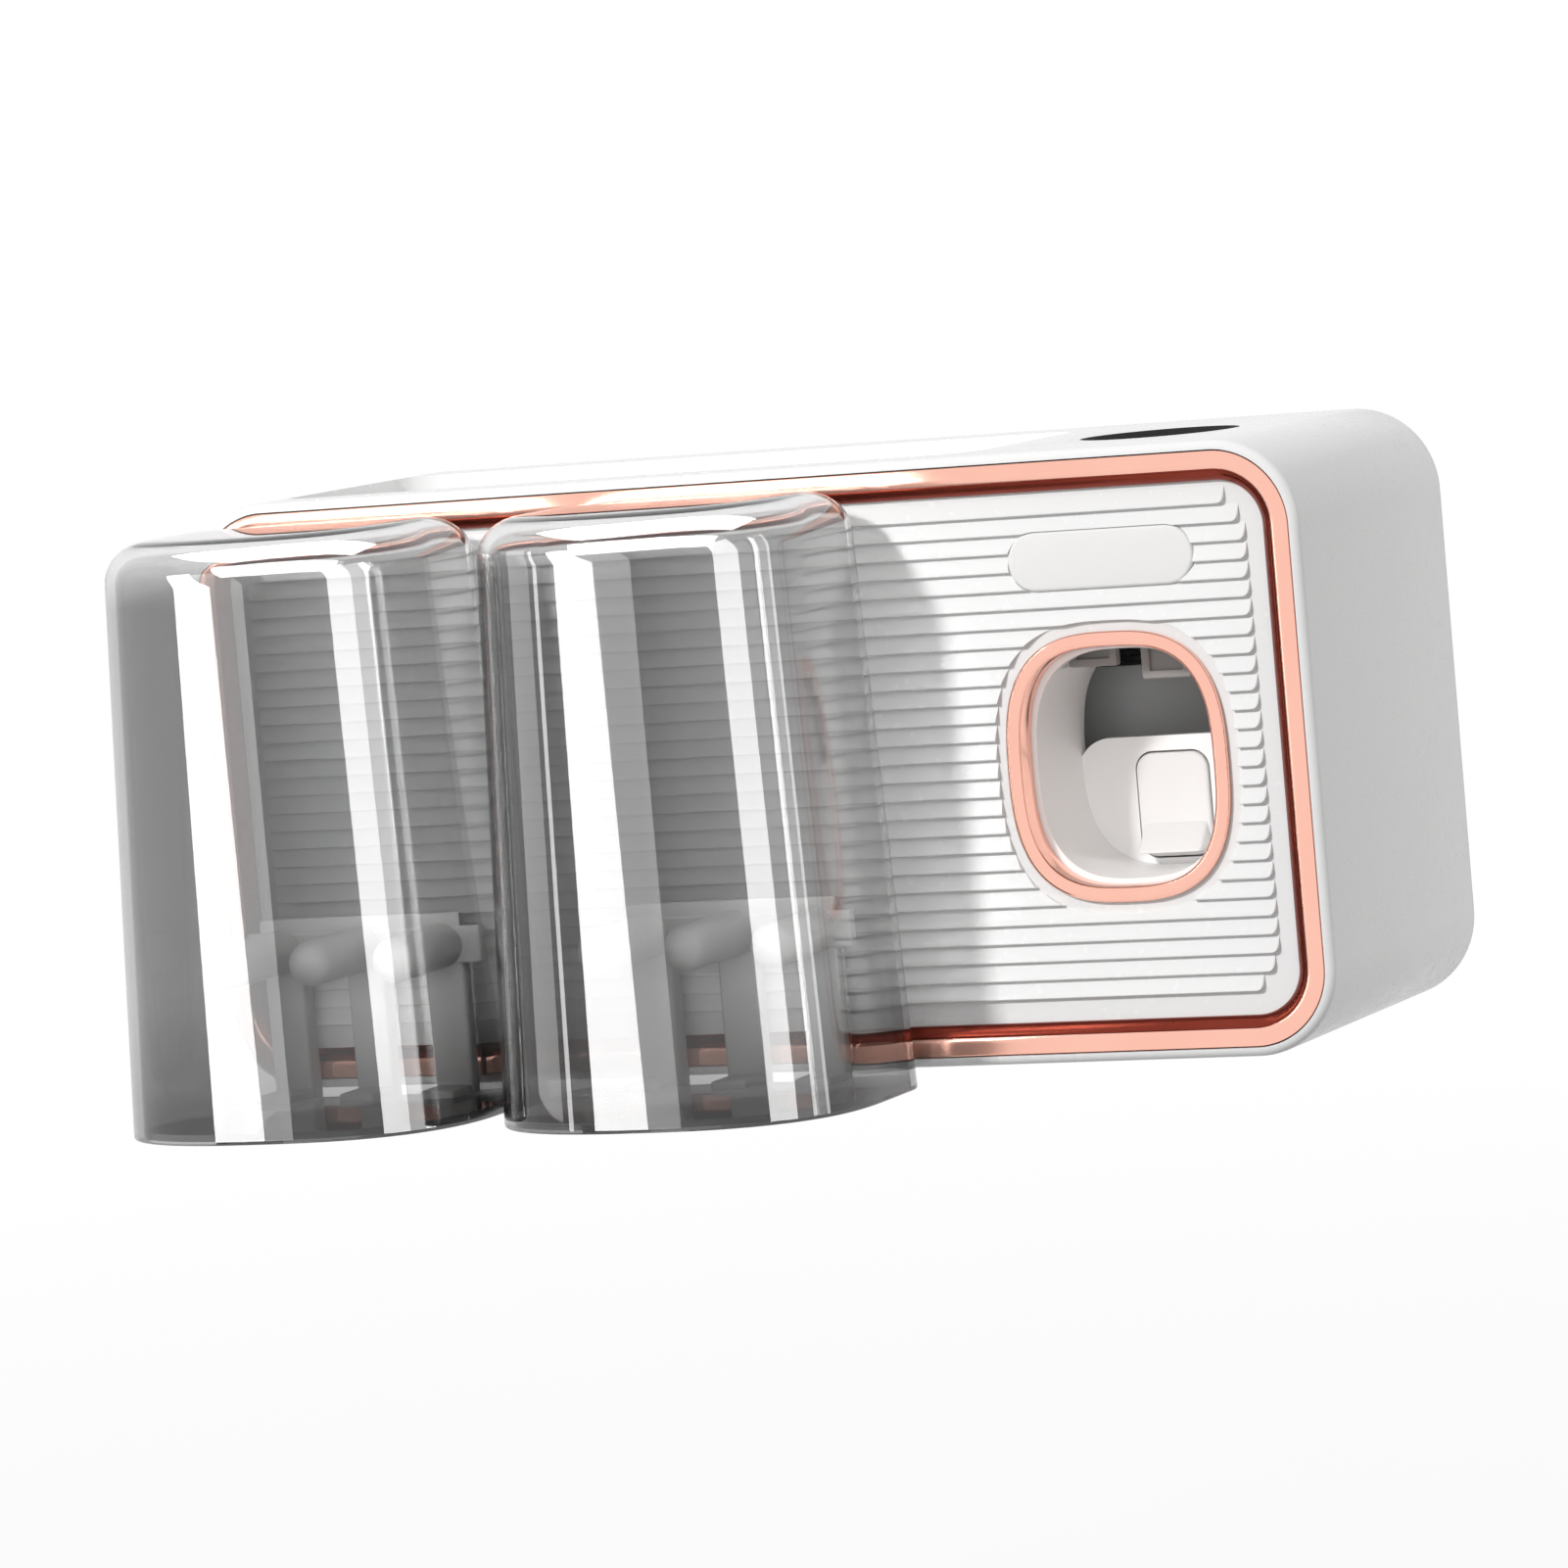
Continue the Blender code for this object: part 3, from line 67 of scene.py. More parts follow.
CUP_HALF_WIDTH, CUP_DEPTH, CUP_CORNER, CUP_SIDES = 41, 62, 11, 144
CUP_BACK, CUP_RIM, CUP_TOP, CUP_SHOULDER = -0.8, -67.0, 59.6, 8.5
PEG_SPACING, PEG_LEVEL, PEG_RADIUS, BORE_RADIUS = 19.8, -33, 4.8, 1.6
HANGER_FRONT, HOOK_MIDDLE = 92.3, 58

# Faces that meet at a flatter angle than this are shaded as one curve
SMOOTH = math.radians(32)


def at(x, depth, z):
    """A point in metres from millimetres across, behind the rim and up."""
    return Vector((x * MM, (FRONT + depth) * MM, z * MM))


# Modelling

def choose(*pieces):
    """Selects only these pieces, the first one as the active one."""
    bpy.ops.object.select_all(action="DESELECT")
    for piece in pieces:
        piece.select_set(True)
    bpy.context.view_layer.objects.active = pieces[0]


def settle(name):
    """The new primitive becomes a named piece whose object sits at the origin."""
    piece = bpy.context.object
    piece.name = name
    piece.data.name = name
    bpy.ops.object.transform_apply(location=True, rotation=True, scale=True)
    return piece


def block(name, low, high):
    """A box between two corners."""
    bpy.ops.object.select_all(action="DESELECT")
    low, high = at(*low), at(*high)
    bpy.ops.mesh.primitive_cube_add(size=1, location=(low + high) / 2)
    bpy.context.object.scale = high - low
    return settle(name)


def post(name, radius, start, end, sides, tip=None):
    """A round bar, or a cone when the tip's radius is given."""
    bpy.ops.object.select_all(action="DESELECT")
    start, end = at(*start), at(*end)
    run = end - start
    turn = Vector((0, 0, 1)).rotation_difference(run).to_euler()
    bpy.ops.mesh.primitive_cone_add(vertices=sides, radius1=radius * MM,
                                    radius2=(radius if tip is None else tip) * MM,
                                    depth=run.length, location=(start + end) / 2, rotation=turn)
    return settle(name)


def pick(piece, kind, test):
    """Opens the piece in edit mode with the parts that pass the test selected."""
    choose(piece)
    bpy.ops.object.mode_set(mode="EDIT")
    bpy.ops.mesh.select_mode(type=kind)
    bpy.ops.mesh.select_all(action="DESELECT")
    mesh = bmesh.from_edit_mesh(piece.data)
    parts = {"VERT": mesh.verts, "EDGE": mesh.edges, "FACE": mesh.faces}[kind]
    for part in parts:
        if test(part):
            part.select_set(True)
    bmesh.update_edit_mesh(piece.data)


def leave():
    """Back to object mode, which keeps what was done to the picked parts."""
    bpy.ops.object.mode_set(mode="OBJECT")


def near(value, wanted):
    """Whether two coordinates in metres are the same but for rounding."""
    return abs(value - wanted) < 0.02 * MM


def edge_on(axis, value):
    """Edges that lie wholly in the plane where that coordinate has that value, in metres."""
    return lambda edge: all(near(vert.co[axis], value) for vert in edge.verts)


def edge_along(axis):
    """Edges that run along that axis."""
    def test(edge):
        run = edge.verts[0].co - edge.verts[1].co
        return abs(run[axis]) > 0.98 * run.length
    return test


def face_to(axis, side):
    """Faces that look straight along that axis, to its plus or minus side."""
    return lambda face: face.normal[axis] * side > 0.99


def large_ends(area):
    """Faces that look straight ahead or back and are larger than so many square metres."""
    return lambda face: abs(face.normal.y) > 0.99 and face.calc_area() > area


def bevel(piece, test, width, segments):
    """Rounds the edges that pass the test."""
    pick(piece, "EDGE", test)
    bpy.ops.mesh.bevel(offset=width * MM, segments=segments, affect="EDGES", clamp_overlap=True)
    leave()


def inset(*steps):
    """Insets the chosen face again and again: each step is a width and a rise, in millimetres."""
    for width, rise in steps:
        bpy.ops.mesh.inset(thickness=width * MM, depth=rise * MM, use_even_offset=True)


def push(back=0, up=0):
    """Draws the chosen faces out by so many millimetres."""
    move = Vector((0, back, up)) * MM
    bpy.ops.mesh.extrude_region_move(TRANSFORM_OT_translate={"value": move})


def tunnel(piece, test):
    """Joins the two chosen end faces by a straight wall through the piece."""
    pick(piece, "FACE", test)
    bpy.ops.mesh.bridge_edge_loops()
    leave()


def plate(name, half_width, half_height, corner, front, back, x=0, z=0, segments=20):
    """An upright plate between two depths with rounded corners."""
    piece = block(name, (x - half_width, front, z - half_height), (x + half_width, back, z + half_height))
    bevel(piece, edge_along(1), corner, segments)
    return piece


def oval_plate(name, half_width, half_height, front, back):
    """The window's squared-off oval as a solid disc between two depths."""
    sides, exponent = 112, 2.8
    bpy.ops.object.select_all(action="DESELECT")
    bpy.ops.mesh.primitive_cylinder_add(vertices=sides, radius=1, depth=2, rotation=(math.pi / 2, 0, 0))
    piece = settle(name)
    power = 2 / exponent
    for vert in piece.data.vertices:
        x = math.copysign(abs(vert.co.x) ** power, vert.co.x) * half_width + WINDOW[0]
        z = math.copysign(abs(vert.co.z) ** power, vert.co.z) * half_height + WINDOW[1]
        vert.co = at(x, front if vert.co.y < 0 else back, z)
    return piece


def apply(piece, kind, **settings):
    """Adds a modifier with these settings and applies it."""
    choose(piece)
    modifier = piece.modifiers.new(kind.lower(), kind)
    for key, value in settings.items():
        setattr(modifier, key, value)
    bpy.ops.object.modifier_apply(modifier=modifier.name)


def combine(piece, operation, *tools):
    """Uses up the tools one by one on the piece."""
    for tool in tools:
        apply(piece, "BOOLEAN", operation=operation, solver="EXACT", object=tool)
        bpy.data.objects.remove(tool)


def cut(piece, *tools):
    combine(piece, "DIFFERENCE", *tools)


def join(piece, *tools):
    combine(piece, "UNION", *tools)


def clean(piece):
    """Merges doubled points and turns all the faces outwards."""
    pick(piece, "VERT", lambda vert: True)
    bpy.ops.mesh.remove_doubles(threshold=0.001 * MM)
    bpy.ops.mesh.normals_make_consistent(inside=False)
    leave()


def dress(piece, finish, body, *nodes, slot, clean_up=True):
    """Shades the piece, gives it its finish and its body, and hides the CAD parts that it stands for."""
    if clean_up:
        clean(piece)
    choose(piece)
    bpy.ops.object.shade_smooth_by_angle(angle=SMOOTH)
    piece.data.materials.clear()
    piece.data.materials.append(finish)
    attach(piece, body)
    if nodes:
        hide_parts(*nodes)


# Materials

def linear(code):
    """An sRGB hex colour as linear values."""
    values = [int(code[i:i + 2], 16) / 255 for i in (1, 3, 5)]
    return tuple(v / 12.92 if v <= 0.04045 else ((v + 0.055) / 1.055) ** 2.4 for v in values) + (1.0,)


def add(tree, kind, inputs=None, **settings):
    """Adds a node. Inputs are values or the sockets that feed them."""
    item = tree.nodes.new(kind)
    for key, value in settings.items():
        setattr(item, key, value)
    for key, value in (inputs or {}).items():
        if isinstance(value, bpy.types.NodeSocket):
            tree.links.new(value, item.inputs[key])
        else:
            item.inputs[key].default_value = value
    return item


def new_finish(name):
    """An empty material and its node tree."""
    material = bpy.data.materials.new(name)
    material.use_nodes = True
    tree = material.node_tree
    tree.nodes.clear()
    return material, tree


def moulded(name, colour, shade, roughness, grain_mm, grain_depth_mm, ior=1.53):
    """Moulded plastic: a faint flow mottle in the colour, and the mould's grain as bump and gloss."""
    change = 0.04
    material, tree = new_finish(name)
    place = add(tree, "ShaderNodeTexCoord").outputs["Object"]
    flow = add(tree, "ShaderNodeTexNoise", {"Vector": place, "Scale": 1 / (35 * MM), "Detail": 2.0})
    grain = add(tree, "ShaderNodeTexNoise", {"Vector": place, "Scale": 1 / (grain_mm * MM), "Detail": 1.0})
    tint = add(tree, "ShaderNodeMix", {0: flow.outputs[0], 6: linear(colour), 7: linear(shade)},
               data_type="RGBA")
    gloss = add(tree, "ShaderNodeMapRange", {"Value": grain.outputs[0], "From Min": 0.3, "From Max": 0.7,
                                             "To Min": roughness - change, "To Max": roughness + change})
    bump = add(tree, "ShaderNodeBump", {"Height": grain.outputs[0], "Strength": 0.2,
                                        "Distance": grain_depth_mm * MM})
    shader = add(tree, "ShaderNodeBsdfPrincipled", {
        "Base Color": tint.outputs[2], "Roughness": gloss.outputs[0], "Normal": bump.outputs[0], "IOR": ior})
    add(tree, "ShaderNodeOutputMaterial", {"Surface": shader.outputs[0]})
    return material


def plated(name, colour, shade, roughness, orange_peel_mm):
    """Vacuum-plated plastic: a mirror of tinted metal over the slight orange peel of its lacquer."""
    material, tree = new_finish(name)
    place = add(tree, "ShaderNodeTexCoord").outputs["Object"]
    haze = add(tree, "ShaderNodeTexNoise", {"Vector": place, "Scale": 1 / (18 * MM), "Detail": 3.0})
    peel = add(tree, "ShaderNodeTexNoise", {"Vector": place, "Scale": 1 / (orange_peel_mm * MM),
                                            "Detail": 1.0})
    tint = add(tree, "ShaderNodeMix", {0: haze.outputs[0], 6: linear(colour), 7: linear(shade)},
               data_type="RGBA")
    gloss = add(tree, "ShaderNodeMapRange", {"Value": haze.outputs[0], "From Min": 0.35, "From Max": 0.65,
                                             "To Min": roughness * 0.8, "To Max": roughness * 1.25})
    bump = add(tree, "ShaderNodeBump", {"Height": peel.outputs[0], "Strength": 0.12, "Distance": 0.02 * MM})
    shader = add(tree, "ShaderNodeBsdfPrincipled", {
        "Base Color": tint.outputs[2], "Roughness": gloss.outputs[0], "Normal": bump.outputs[0],
        "Metallic": 1.0})
    add(tree, "ShaderNodeOutputMaterial", {"Surface": shader.outputs[0]})
    return material


def clear_plastic(name, colour, lit_colour, rim_shade_colour, flow_mm):
    """Clear moulded SAN with a faint ripple of flow. Painted light lightens its tint from 6 to 26 mm right
    of each cup's middle and over the last 10 mm before the closed end, and painted shade darkens it over the
    24 mm by the rim."""
    material, tree = new_finish(name)
    place = add(tree, "ShaderNodeTexCoord").outputs["Object"]
    axes = add(tree, "ShaderNodeSeparateXYZ", {"Vector": place})
    pitch = (CUP_MIDDLES["right"] - CUP_MIDDLES["left"]) * MM
    shift = add(tree, "ShaderNodeMath", {0: axes.outputs["X"], 1: pitch * 1.5 - CUP_MIDDLES["right"] * MM},
                operation="ADD")
    across = add(tree, "ShaderNodeMath", {0: shift.outputs[0], 1: pitch}, operation="MODULO")
    # Painted light: these masks lighten the tint right of each cup's middle and at the closed end
    lit_right = add(tree, "ShaderNodeMapRange", {"Value": across.outputs[0], "From Min": pitch / 2 + 6 * MM,
                                                "From Max": pitch / 2 + 26 * MM})
    lit_top = add(tree, "ShaderNodeMapRange", {"Value": axes.outputs["Z"], "From Min": 46 * MM,
                                              "From Max": 56 * MM})
    painted_light = add(tree, "ShaderNodeMath", {0: lit_right.outputs[0], 1: lit_top.outputs[0]}, operation="MAXIMUM")
    main = add(tree, "ShaderNodeMix", {0: painted_light.outputs[0], 6: linear(colour), 7: linear(lit_colour)},
               data_type="RGBA")
    # Painted shade: this mask darkens the tint towards the rim
    rim_shade = add(tree, "ShaderNodeMapRange", {"Value": axes.outputs["Z"], "From Min": -38 * MM,
                                              "From Max": -62 * MM})
    tint = add(tree, "ShaderNodeMix", {0: rim_shade.outputs[0], 6: main.outputs[2], 7: linear(rim_shade_colour)},
               data_type="RGBA")
    flow = add(tree, "ShaderNodeTexNoise", {"Vector": place, "Scale": 1 / (flow_mm * MM), "Detail": 1.0})
    gloss = add(tree, "ShaderNodeMapRange", {"Value": flow.outputs[0], "To Min": 0.0, "To Max": 0.03})
    bump = add(tree, "ShaderNodeBump", {"Height": flow.outputs[0], "Strength": 0.1, "Distance": 0.04 * MM})
    shader = add(tree, "ShaderNodeBsdfPrincipled", {
        "Base Color": tint.outputs[2], "Roughness": gloss.outputs[0], "Normal": bump.outputs[0],
        "IOR": 1.57, "Transmission Weight": 1.0})
    add(tree, "ShaderNodeOutputMaterial", {"Surface": shader.outputs[0]})
    return material


def steel(name, colour, roughness, line_mm):
    """Bright zinc-plated or rolled steel: fine drawn lines along X and a slight change of gloss."""
    material, tree = new_finish(name)
    place = add(tree, "ShaderNodeTexCoord").outputs["Object"]
    drawn = add(tree, "ShaderNodeMapping", {"Vector": place, "Scale": (0.04, 1.0, 1.0)})
    lines = add(tree, "ShaderNodeTexNoise", {"Vector": drawn.outputs[0], "Scale": 1 / (line_mm * MM),
                                             "Detail": 4.0})
    gloss = add(tree, "ShaderNodeMapRange", {"Value": lines.outputs[0], "From Min": 0.3, "From Max": 0.7,
                                             "To Min": roughness * 0.8, "To Max": roughness * 1.2})
    bump = add(tree, "ShaderNodeBump", {"Height": lines.outputs[0], "Strength": 0.2, "Distance": 0.01 * MM})
    shader = add(tree, "ShaderNodeBsdfPrincipled", {
        "Base Color": linear(colour), "Roughness": gloss.outputs[0], "Normal": bump.outputs[0],
        "Metallic": 1.0})
    add(tree, "ShaderNodeOutputMaterial", {"Surface": shader.outputs[0]})
    return material


def foam(name, colour, shade, cell_mm):
    """Closed-cell foam tape: small round cells that show as pits, with painted shade darkening each pit."""
    material, tree = new_finish(name)
    place = add(tree, "ShaderNodeTexCoord").outputs["Object"]
    cells = add(tree, "ShaderNodeTexVoronoi", {"Vector": place, "Scale": 1 / (cell_mm * MM)})
    tint = add(tree, "ShaderNodeMix", {0: cells.outputs["Distance"], 6: linear(shade), 7: linear(colour)},
               data_type="RGBA")
    bump = add(tree, "ShaderNodeBump", {"Height": cells.outputs["Distance"], "Strength": 0.6,
                                        "Distance": 0.1 * MM})
    shader = add(tree, "ShaderNodeBsdfPrincipled", {
        "Base Color": tint.outputs[2], "Roughness": 0.9, "Normal": bump.outputs[0], "IOR": 1.5})
    add(tree, "ShaderNodeOutputMaterial", {"Surface": shader.outputs[0]})
    return material


# Glossy ABS of the housing and panel, from a polished mould: white with broad soft highlights. Its grain
# is drawn at 3 mm, coarser than the real one, which is too fine to show
WHITE_ABS = moulded("glossy white ABS", "#F3F3F2", "#EEEEEE", 0.24, 3.0, 0.006)
# Satin ABS of the trough, nozzle, badge and rear cover, from a finely eroded mould: a duller white
SATIN_ABS = moulded("satin white ABS", "#F4F3F2", "#EFEEED", 0.36, 0.5, 0.012)
# The same satin ABS a step greyer, so that the pad stands out from the trough's back wall
PAD_ABS = moulded("satin pad ABS", "#E3E2E1", "#DEDDDC", 0.36, 0.5, 0.012)
# Painted shade: a satin grey on the shell's rear edge, standing in for the darker shade and reflection
# there, which draws a crisp line round the side
REAR_EDGE_SHADE_ABS = moulded("satin grey painted shade edge ABS", "#BFBFBE", "#B9B9B8", 0.36, 0.5, 0.012)
# Painted shade: a satin grey that makes the two guide lugs darker than the trough round them, for the shade
# they sit in
LUG_SHADE_ABS = moulded("satin grey painted shade lug ABS", "#A6A5A3", "#9F9E9C", 0.40, 0.5, 0.012)
# Vacuum-plated ABS lacquered rose gold: a pale pink mirror
ROSE_GOLD = plated("rose gold plated ABS", "#FFC8B6", "#FDBFAB", 0.14, 1.2)
# Painted dark reflection: the same plating darkened to a deep copper red on the frame's inner slope
SLOPE_REFLECTION_COPPER = plated("painted dark reflection copper", "#8F4032", "#7A3024", 0.22, 1.2)
# Clear SAN of the cups: polished on both sides and tinted a smoke grey that darkens what is behind, with
# painted light and shade in that tint
CLEAR_SAN = clear_plastic("smoke grey SAN", "#B4B4B4", "#EBEBEB", "#979797", 24)
# Painted light: the same SAN with a lighter tint in the cups' flat back wall, so that what is behind it
# looks lighter
BACK_WALL_LIT_SAN = clear_plastic("thin smoke grey SAN", "#E2E2E2", "#EFEFEF", "#D0D0D0", 24)
# Matt grey polypropylene of the racks, with a fine eroded grain
GREY_PP = moulded("matt grey polypropylene", "#B6B6B5", "#AFAFAE", 0.46, 0.4, 0.02, ior=1.49)
# Painted shade: a matt near-black on the wall of the tube hole, nearly without reflections, for the shade
# inside the hole
HOLE_SHADE_BLACK = moulded("painted shade black", "#1E1E1F", "#242425", 0.6, 0.6, 0.02, ior=1.52)
# Natural acetal of the pump: slightly waxy and off-white grey
ACETAL = moulded("natural acetal", "#C9C8C4", "#C1C0BC", 0.40, 0.6, 0.01, ior=1.48)
# Milky silicone of the valves, the seal and the tube seat
SILICONE = moulded("milky silicone", "#D4D4CE", "#CCCCC6", 0.52, 0.8, 0.02, ior=1.41)
# Stainless steel of the hanger, spring and rod, rolled or drawn: fine lines and a cool grey gloss
STAINLESS = steel("stainless steel", "#C4C5C7", 0.26, 0.25)
# Zinc-plated steel of the screws: a slightly bluer and duller grey
ZINC = steel("zinc plated steel", "#B9BCC0", 0.30, 0.12)
# Closed-cell acrylic foam tape: matt off-white with small pits, darkened in them by painted shade
FOAM = foam("acrylic foam tape", "#DADAD6", "#B9B9B4", 0.35)


# Housing

def second_finish(piece, finish, test):
    """Gives the faces that pass the test another finish."""
    piece.data.materials.append(finish)
    number = len(piece.data.materials) - 1
    for face in piece.data.polygons:
        if test(face):
            face.material_index = number


def tray_and_tube_hole(shell):
    """Sinks the tray and the tube hole into the top, walls them below and rounds their lips."""
    top, floor, wall = BODY_HALF_HEIGHT, 52, 2
    left, right, fore, rear, corner = -112, 52, 12, 78, 9
    basin = block("basin", (left - wall, fore - wall, floor - wall), (right + wall, rear + wall, top - 0.6))
    bevel(basin, edge_along(2), corner + wall, 12)
    collar = post("collar", TUBE_RADIUS + wall, (WINDOW[0], TUBE_DEPTH, 50),
                  (WINDOW[0], TUBE_DEPTH, top - 0.6), 64)
    join(shell, basin, collar)
    recess = block("recess", (left, fore, floor), (right, rear, top + 3))
    bevel(recess, edge_along(2), corner, 16)
    bevel(recess, edge_on(2, floor * MM), 1.6, 4)
    hole = post("hole", TUBE_RADIUS, (WINDOW[0], TUBE_DEPTH, 46), (WINDOW[0], TUBE_DEPTH, top + 3), 72)
    cut(shell, recess, hole)

    def on_lip(edge):
        if not edge_on(2, top * MM)(edge):
            return False
        middle = (edge.verts[0].co + edge.verts[1].co) / 2 / MM
        x, depth = middle.x, middle.y - FRONT
        from_tube = math.hypot(x - WINDOW[0], depth - TUBE_DEPTH)
        if from_tube < TUBE_RADIUS + 0.5:
            return from_tube > TUBE_RADIUS - 0.5
        if not (left - 0.1 < x < right + 0.1 and fore - 0.1 < depth < rear + 0.1):
            return False
        across = abs(x - (left + right) / 2) - ((right - left) / 2 - corner)
        along = abs(depth - (fore + rear) / 2) - ((rear - fore) / 2 - corner)
        if across > 0 and along > 0:
            return abs(math.hypot(across, along) - corner) < 0.3
        return abs(max(across, along) - corner) < 0.05
    bevel(shell, on_lip, 0.7, 3)


def make_housing():
    """The shell: an open tube of rounded section with its front and rear edges rolled."""
    shell = plate("housing_shell", BODY_HALF_WIDTH, BODY_HALF_HEIGHT, BODY_CORNER, 0, BODY_DEPTH,
                  segments=28)
    bevel(shell, edge_on(1, FRONT * MM), 2.0, 6)
    bevel(shell, edge_on(1, (FRONT + BODY_DEPTH) * MM), 1.6, 5)
    pick(shell, "FACE", face_to(1, -1))
    inset((0.3, 0))
    leave()
    pick(shell, "FACE", face_to(1, 1))
    inset((0.6, 0), (0.15, -0.1), (0.05, -0.1))
    leave()
    tunnel(shell, large_ends(0.02))
    tray_and_tube_hole(shell)
    dress(shell, WHITE_ABS, "body", "housing", slot="white_abs")

    def in_the_tube_hole(face):
        x, y, z = face.center / MM
        from_tube = math.hypot(x - WINDOW[0], y - FRONT - TUBE_DEPTH)
        return from_tube < TUBE_RADIUS + 0.1 and 40 < z < BODY_HALF_HEIGHT - 0.75
    # Painted shade: the wall of the tube hole takes the near-black
    second_finish(shell, HOLE_SHADE_BLACK, in_the_tube_hole)
    # Painted shade: the shell's rear edge takes the grey edge finish
    second_finish(shell, REAR_EDGE_SHADE_ABS, lambda face: face.center.y > (FRONT + BODY_DEPTH - 1.5) * MM)


def make_trim_frame():
    """The plated frame: a flat band, a groove and a slope down to the panel."""
    spread = 0.4  # the band laps this far over the white rim, so that no gap shows
    ring = plate("trim_ring", FRAME_HALF_WIDTH + spread, FRAME_HALF_HEIGHT + spread, FRAME_CORNER + spread,
                 0.1, 3.1, segments=28)
    bevel(ring, edge_on(1, (FRONT + 0.1) * MM), 0.1, 2)
    pick(ring, "FACE", face_to(1, -1))
    inset((0.1, 0), (1.7 + spread, 0))
    inset((0.5, -0.02), (0.4, -0.06), (0.3, -0.1), (0.2, -0.14))
    inset((0.06, -0.7), (0.3, 0), (0.06, 0.35))
    inset((0.3, -0.1), (1.6, -1.35), (0.2, -0.6))
    leave()
    pick(ring, "FACE", face_to(1, 1))
    inset((5.82 + spread, 0))
    leave()
    tunnel(ring, large_ends(0.02))
    dress(ring, ROSE_GOLD, "body", "trim_frame", slot="rose_gold_plating")

    def on_the_painted_slope(face):
        depth = face.center.y / MM - FRONT
        across = FRAME_HALF_WIDTH - abs(face.center.x) / MM
        up = FRAME_HALF_HEIGHT - abs(face.center.z) / MM
        reach, band = min(across, up), 3.25
        if max(across, up) < FRAME_CORNER:
            reach = FRAME_CORNER - math.hypot(FRAME_CORNER - across, FRAME_CORNER - up)
        return reach > band and depth < 3.0
    # Painted dark reflection: the faces inside the step take the deep copper
    second_finish(ring, SLOPE_REFLECTION_COPPER, on_the_painted_slope)


# Front panel

def make_slat(number, line, pitch):
    """One louvre slat: flush at its top edge, proud at its lower edge, with rounded ends."""
    from_end = min(number, RIB_COUNT - 1 - number)
    reach = {0: 111.4, 1: 114.2}.get(from_end, 115.4)
    gap = 0.35
    slat = block(f"slat {number}", (-reach, PANEL_FACE - RIB_PROUD, line - 0.2),
                 (reach, PANEL_FACE + 0.6, line + pitch - gap))
    bevel(slat, lambda edge: edge_along(1)(edge) and edge.verts[0].co.z < line * MM, 1.5, 5)
    for vert in slat.data.vertices:
        if vert.co.y < (FRONT + PANEL_FACE) * MM:
            rise = (vert.co.z / MM - line) / (pitch - gap)
            vert.co.y += RIB_PROUD * 1.02 * max(rise, 0) * MM
    bevel(slat, lambda edge: all(vert.co.y < (FRONT + PANEL_FACE) * MM and vert.co.z < (line + 2.2) * MM
                                 for vert in edge.verts), 0.42, 4)
    return slat


def make_front_panel():
    """The panel with its window and screw holes, and its slats with the margins left clear."""
    panel = plate("ribbed_panel", FRAME_HALF_WIDTH, FRAME_HALF_HEIGHT, FRAME_CORNER, PANEL_FACE,
                  PANEL_BACK)
    hole = oval_plate("window hole", *WINDOW_HOLE, PANEL_FACE - 3, PANEL_BACK + 3)
    cut(panel, hole)
    for cup_x in CUP_MIDDLES.values():
        for side in (-1, 1):
            x = cup_x + side * PEG_SPACING
            cut(panel, post("screw hole", BORE_RADIUS, (x, PANEL_FACE - 3, PEG_LEVEL),
                            (x, PANEL_BACK + 3, PEG_LEVEL), 16))
    dress(panel, WHITE_ABS, "body", "front_panel", slot="white_abs")

    pitch = (RIB_TOP - RIB_BOTTOM) / (RIB_COUNT - 1)
    slats = [make_slat(number, RIB_TOP - number * pitch, pitch) for number in range(RIB_COUNT)]
    choose(*slats)
    bpy.ops.object.join()
    slats[0].name = "louvre_slats"
    margin = oval_plate("window margin", 26.8, 30.6, PANEL_FACE - 4, PANEL_BACK)
    pill = plate("badge margin", 20.65, 6.25, 6.15, PANEL_FACE - 4, PANEL_BACK, *BADGE, segments=16)
    cut(slats[0], margin, pill)
    dress(slats[0], WHITE_ABS, "body", slot="white_abs")


def make_badge():
    """The bare badge: a pill with a softly rounded face."""
    proud = 1.2
    badge = plate("badge_pill", 20.6, 6.2, 6.1, PANEL_FACE - proud, PANEL_FACE - 0.1, *BADGE, segments=16)
    bevel(badge, edge_on(1, (FRONT + PANEL_FACE - proud) * MM), 0.7, 5)
    dress(badge, SATIN_ABS, "body", "badge_plate", slot="white_abs")


def make_window_ring():
    """The plated ring: a rounded face that dips inwards, and a sleeve into the trough."""
    front = PANEL_FACE - 1.7
    ring = oval_plate("window_ring", 24.5, 28.3, front, PANEL_FACE - 0.3)
    bevel(ring, edge_on(1, (FRONT + front) * MM), 0.8, 5)
    pick(ring, "FACE", face_to(1, -1))
    inset((1.3, 0), (0.3, -0.03), (0.27, -0.09), (0.24, -0.17), (0.19, -0.25), (0.1, -0.3))
    leave()
    pick(ring, "FACE", face_to(1, 1))
    inset((2.0, 0))
    push(back=5.4)
    inset((0.2, 0), (1.0, 0))
    leave()
    tunnel(ring, large_ends(0.001))
    dress(ring, ROSE_GOLD, "body", "window_trim", slot="rose_gold_plating")


# Trough, pad and pump

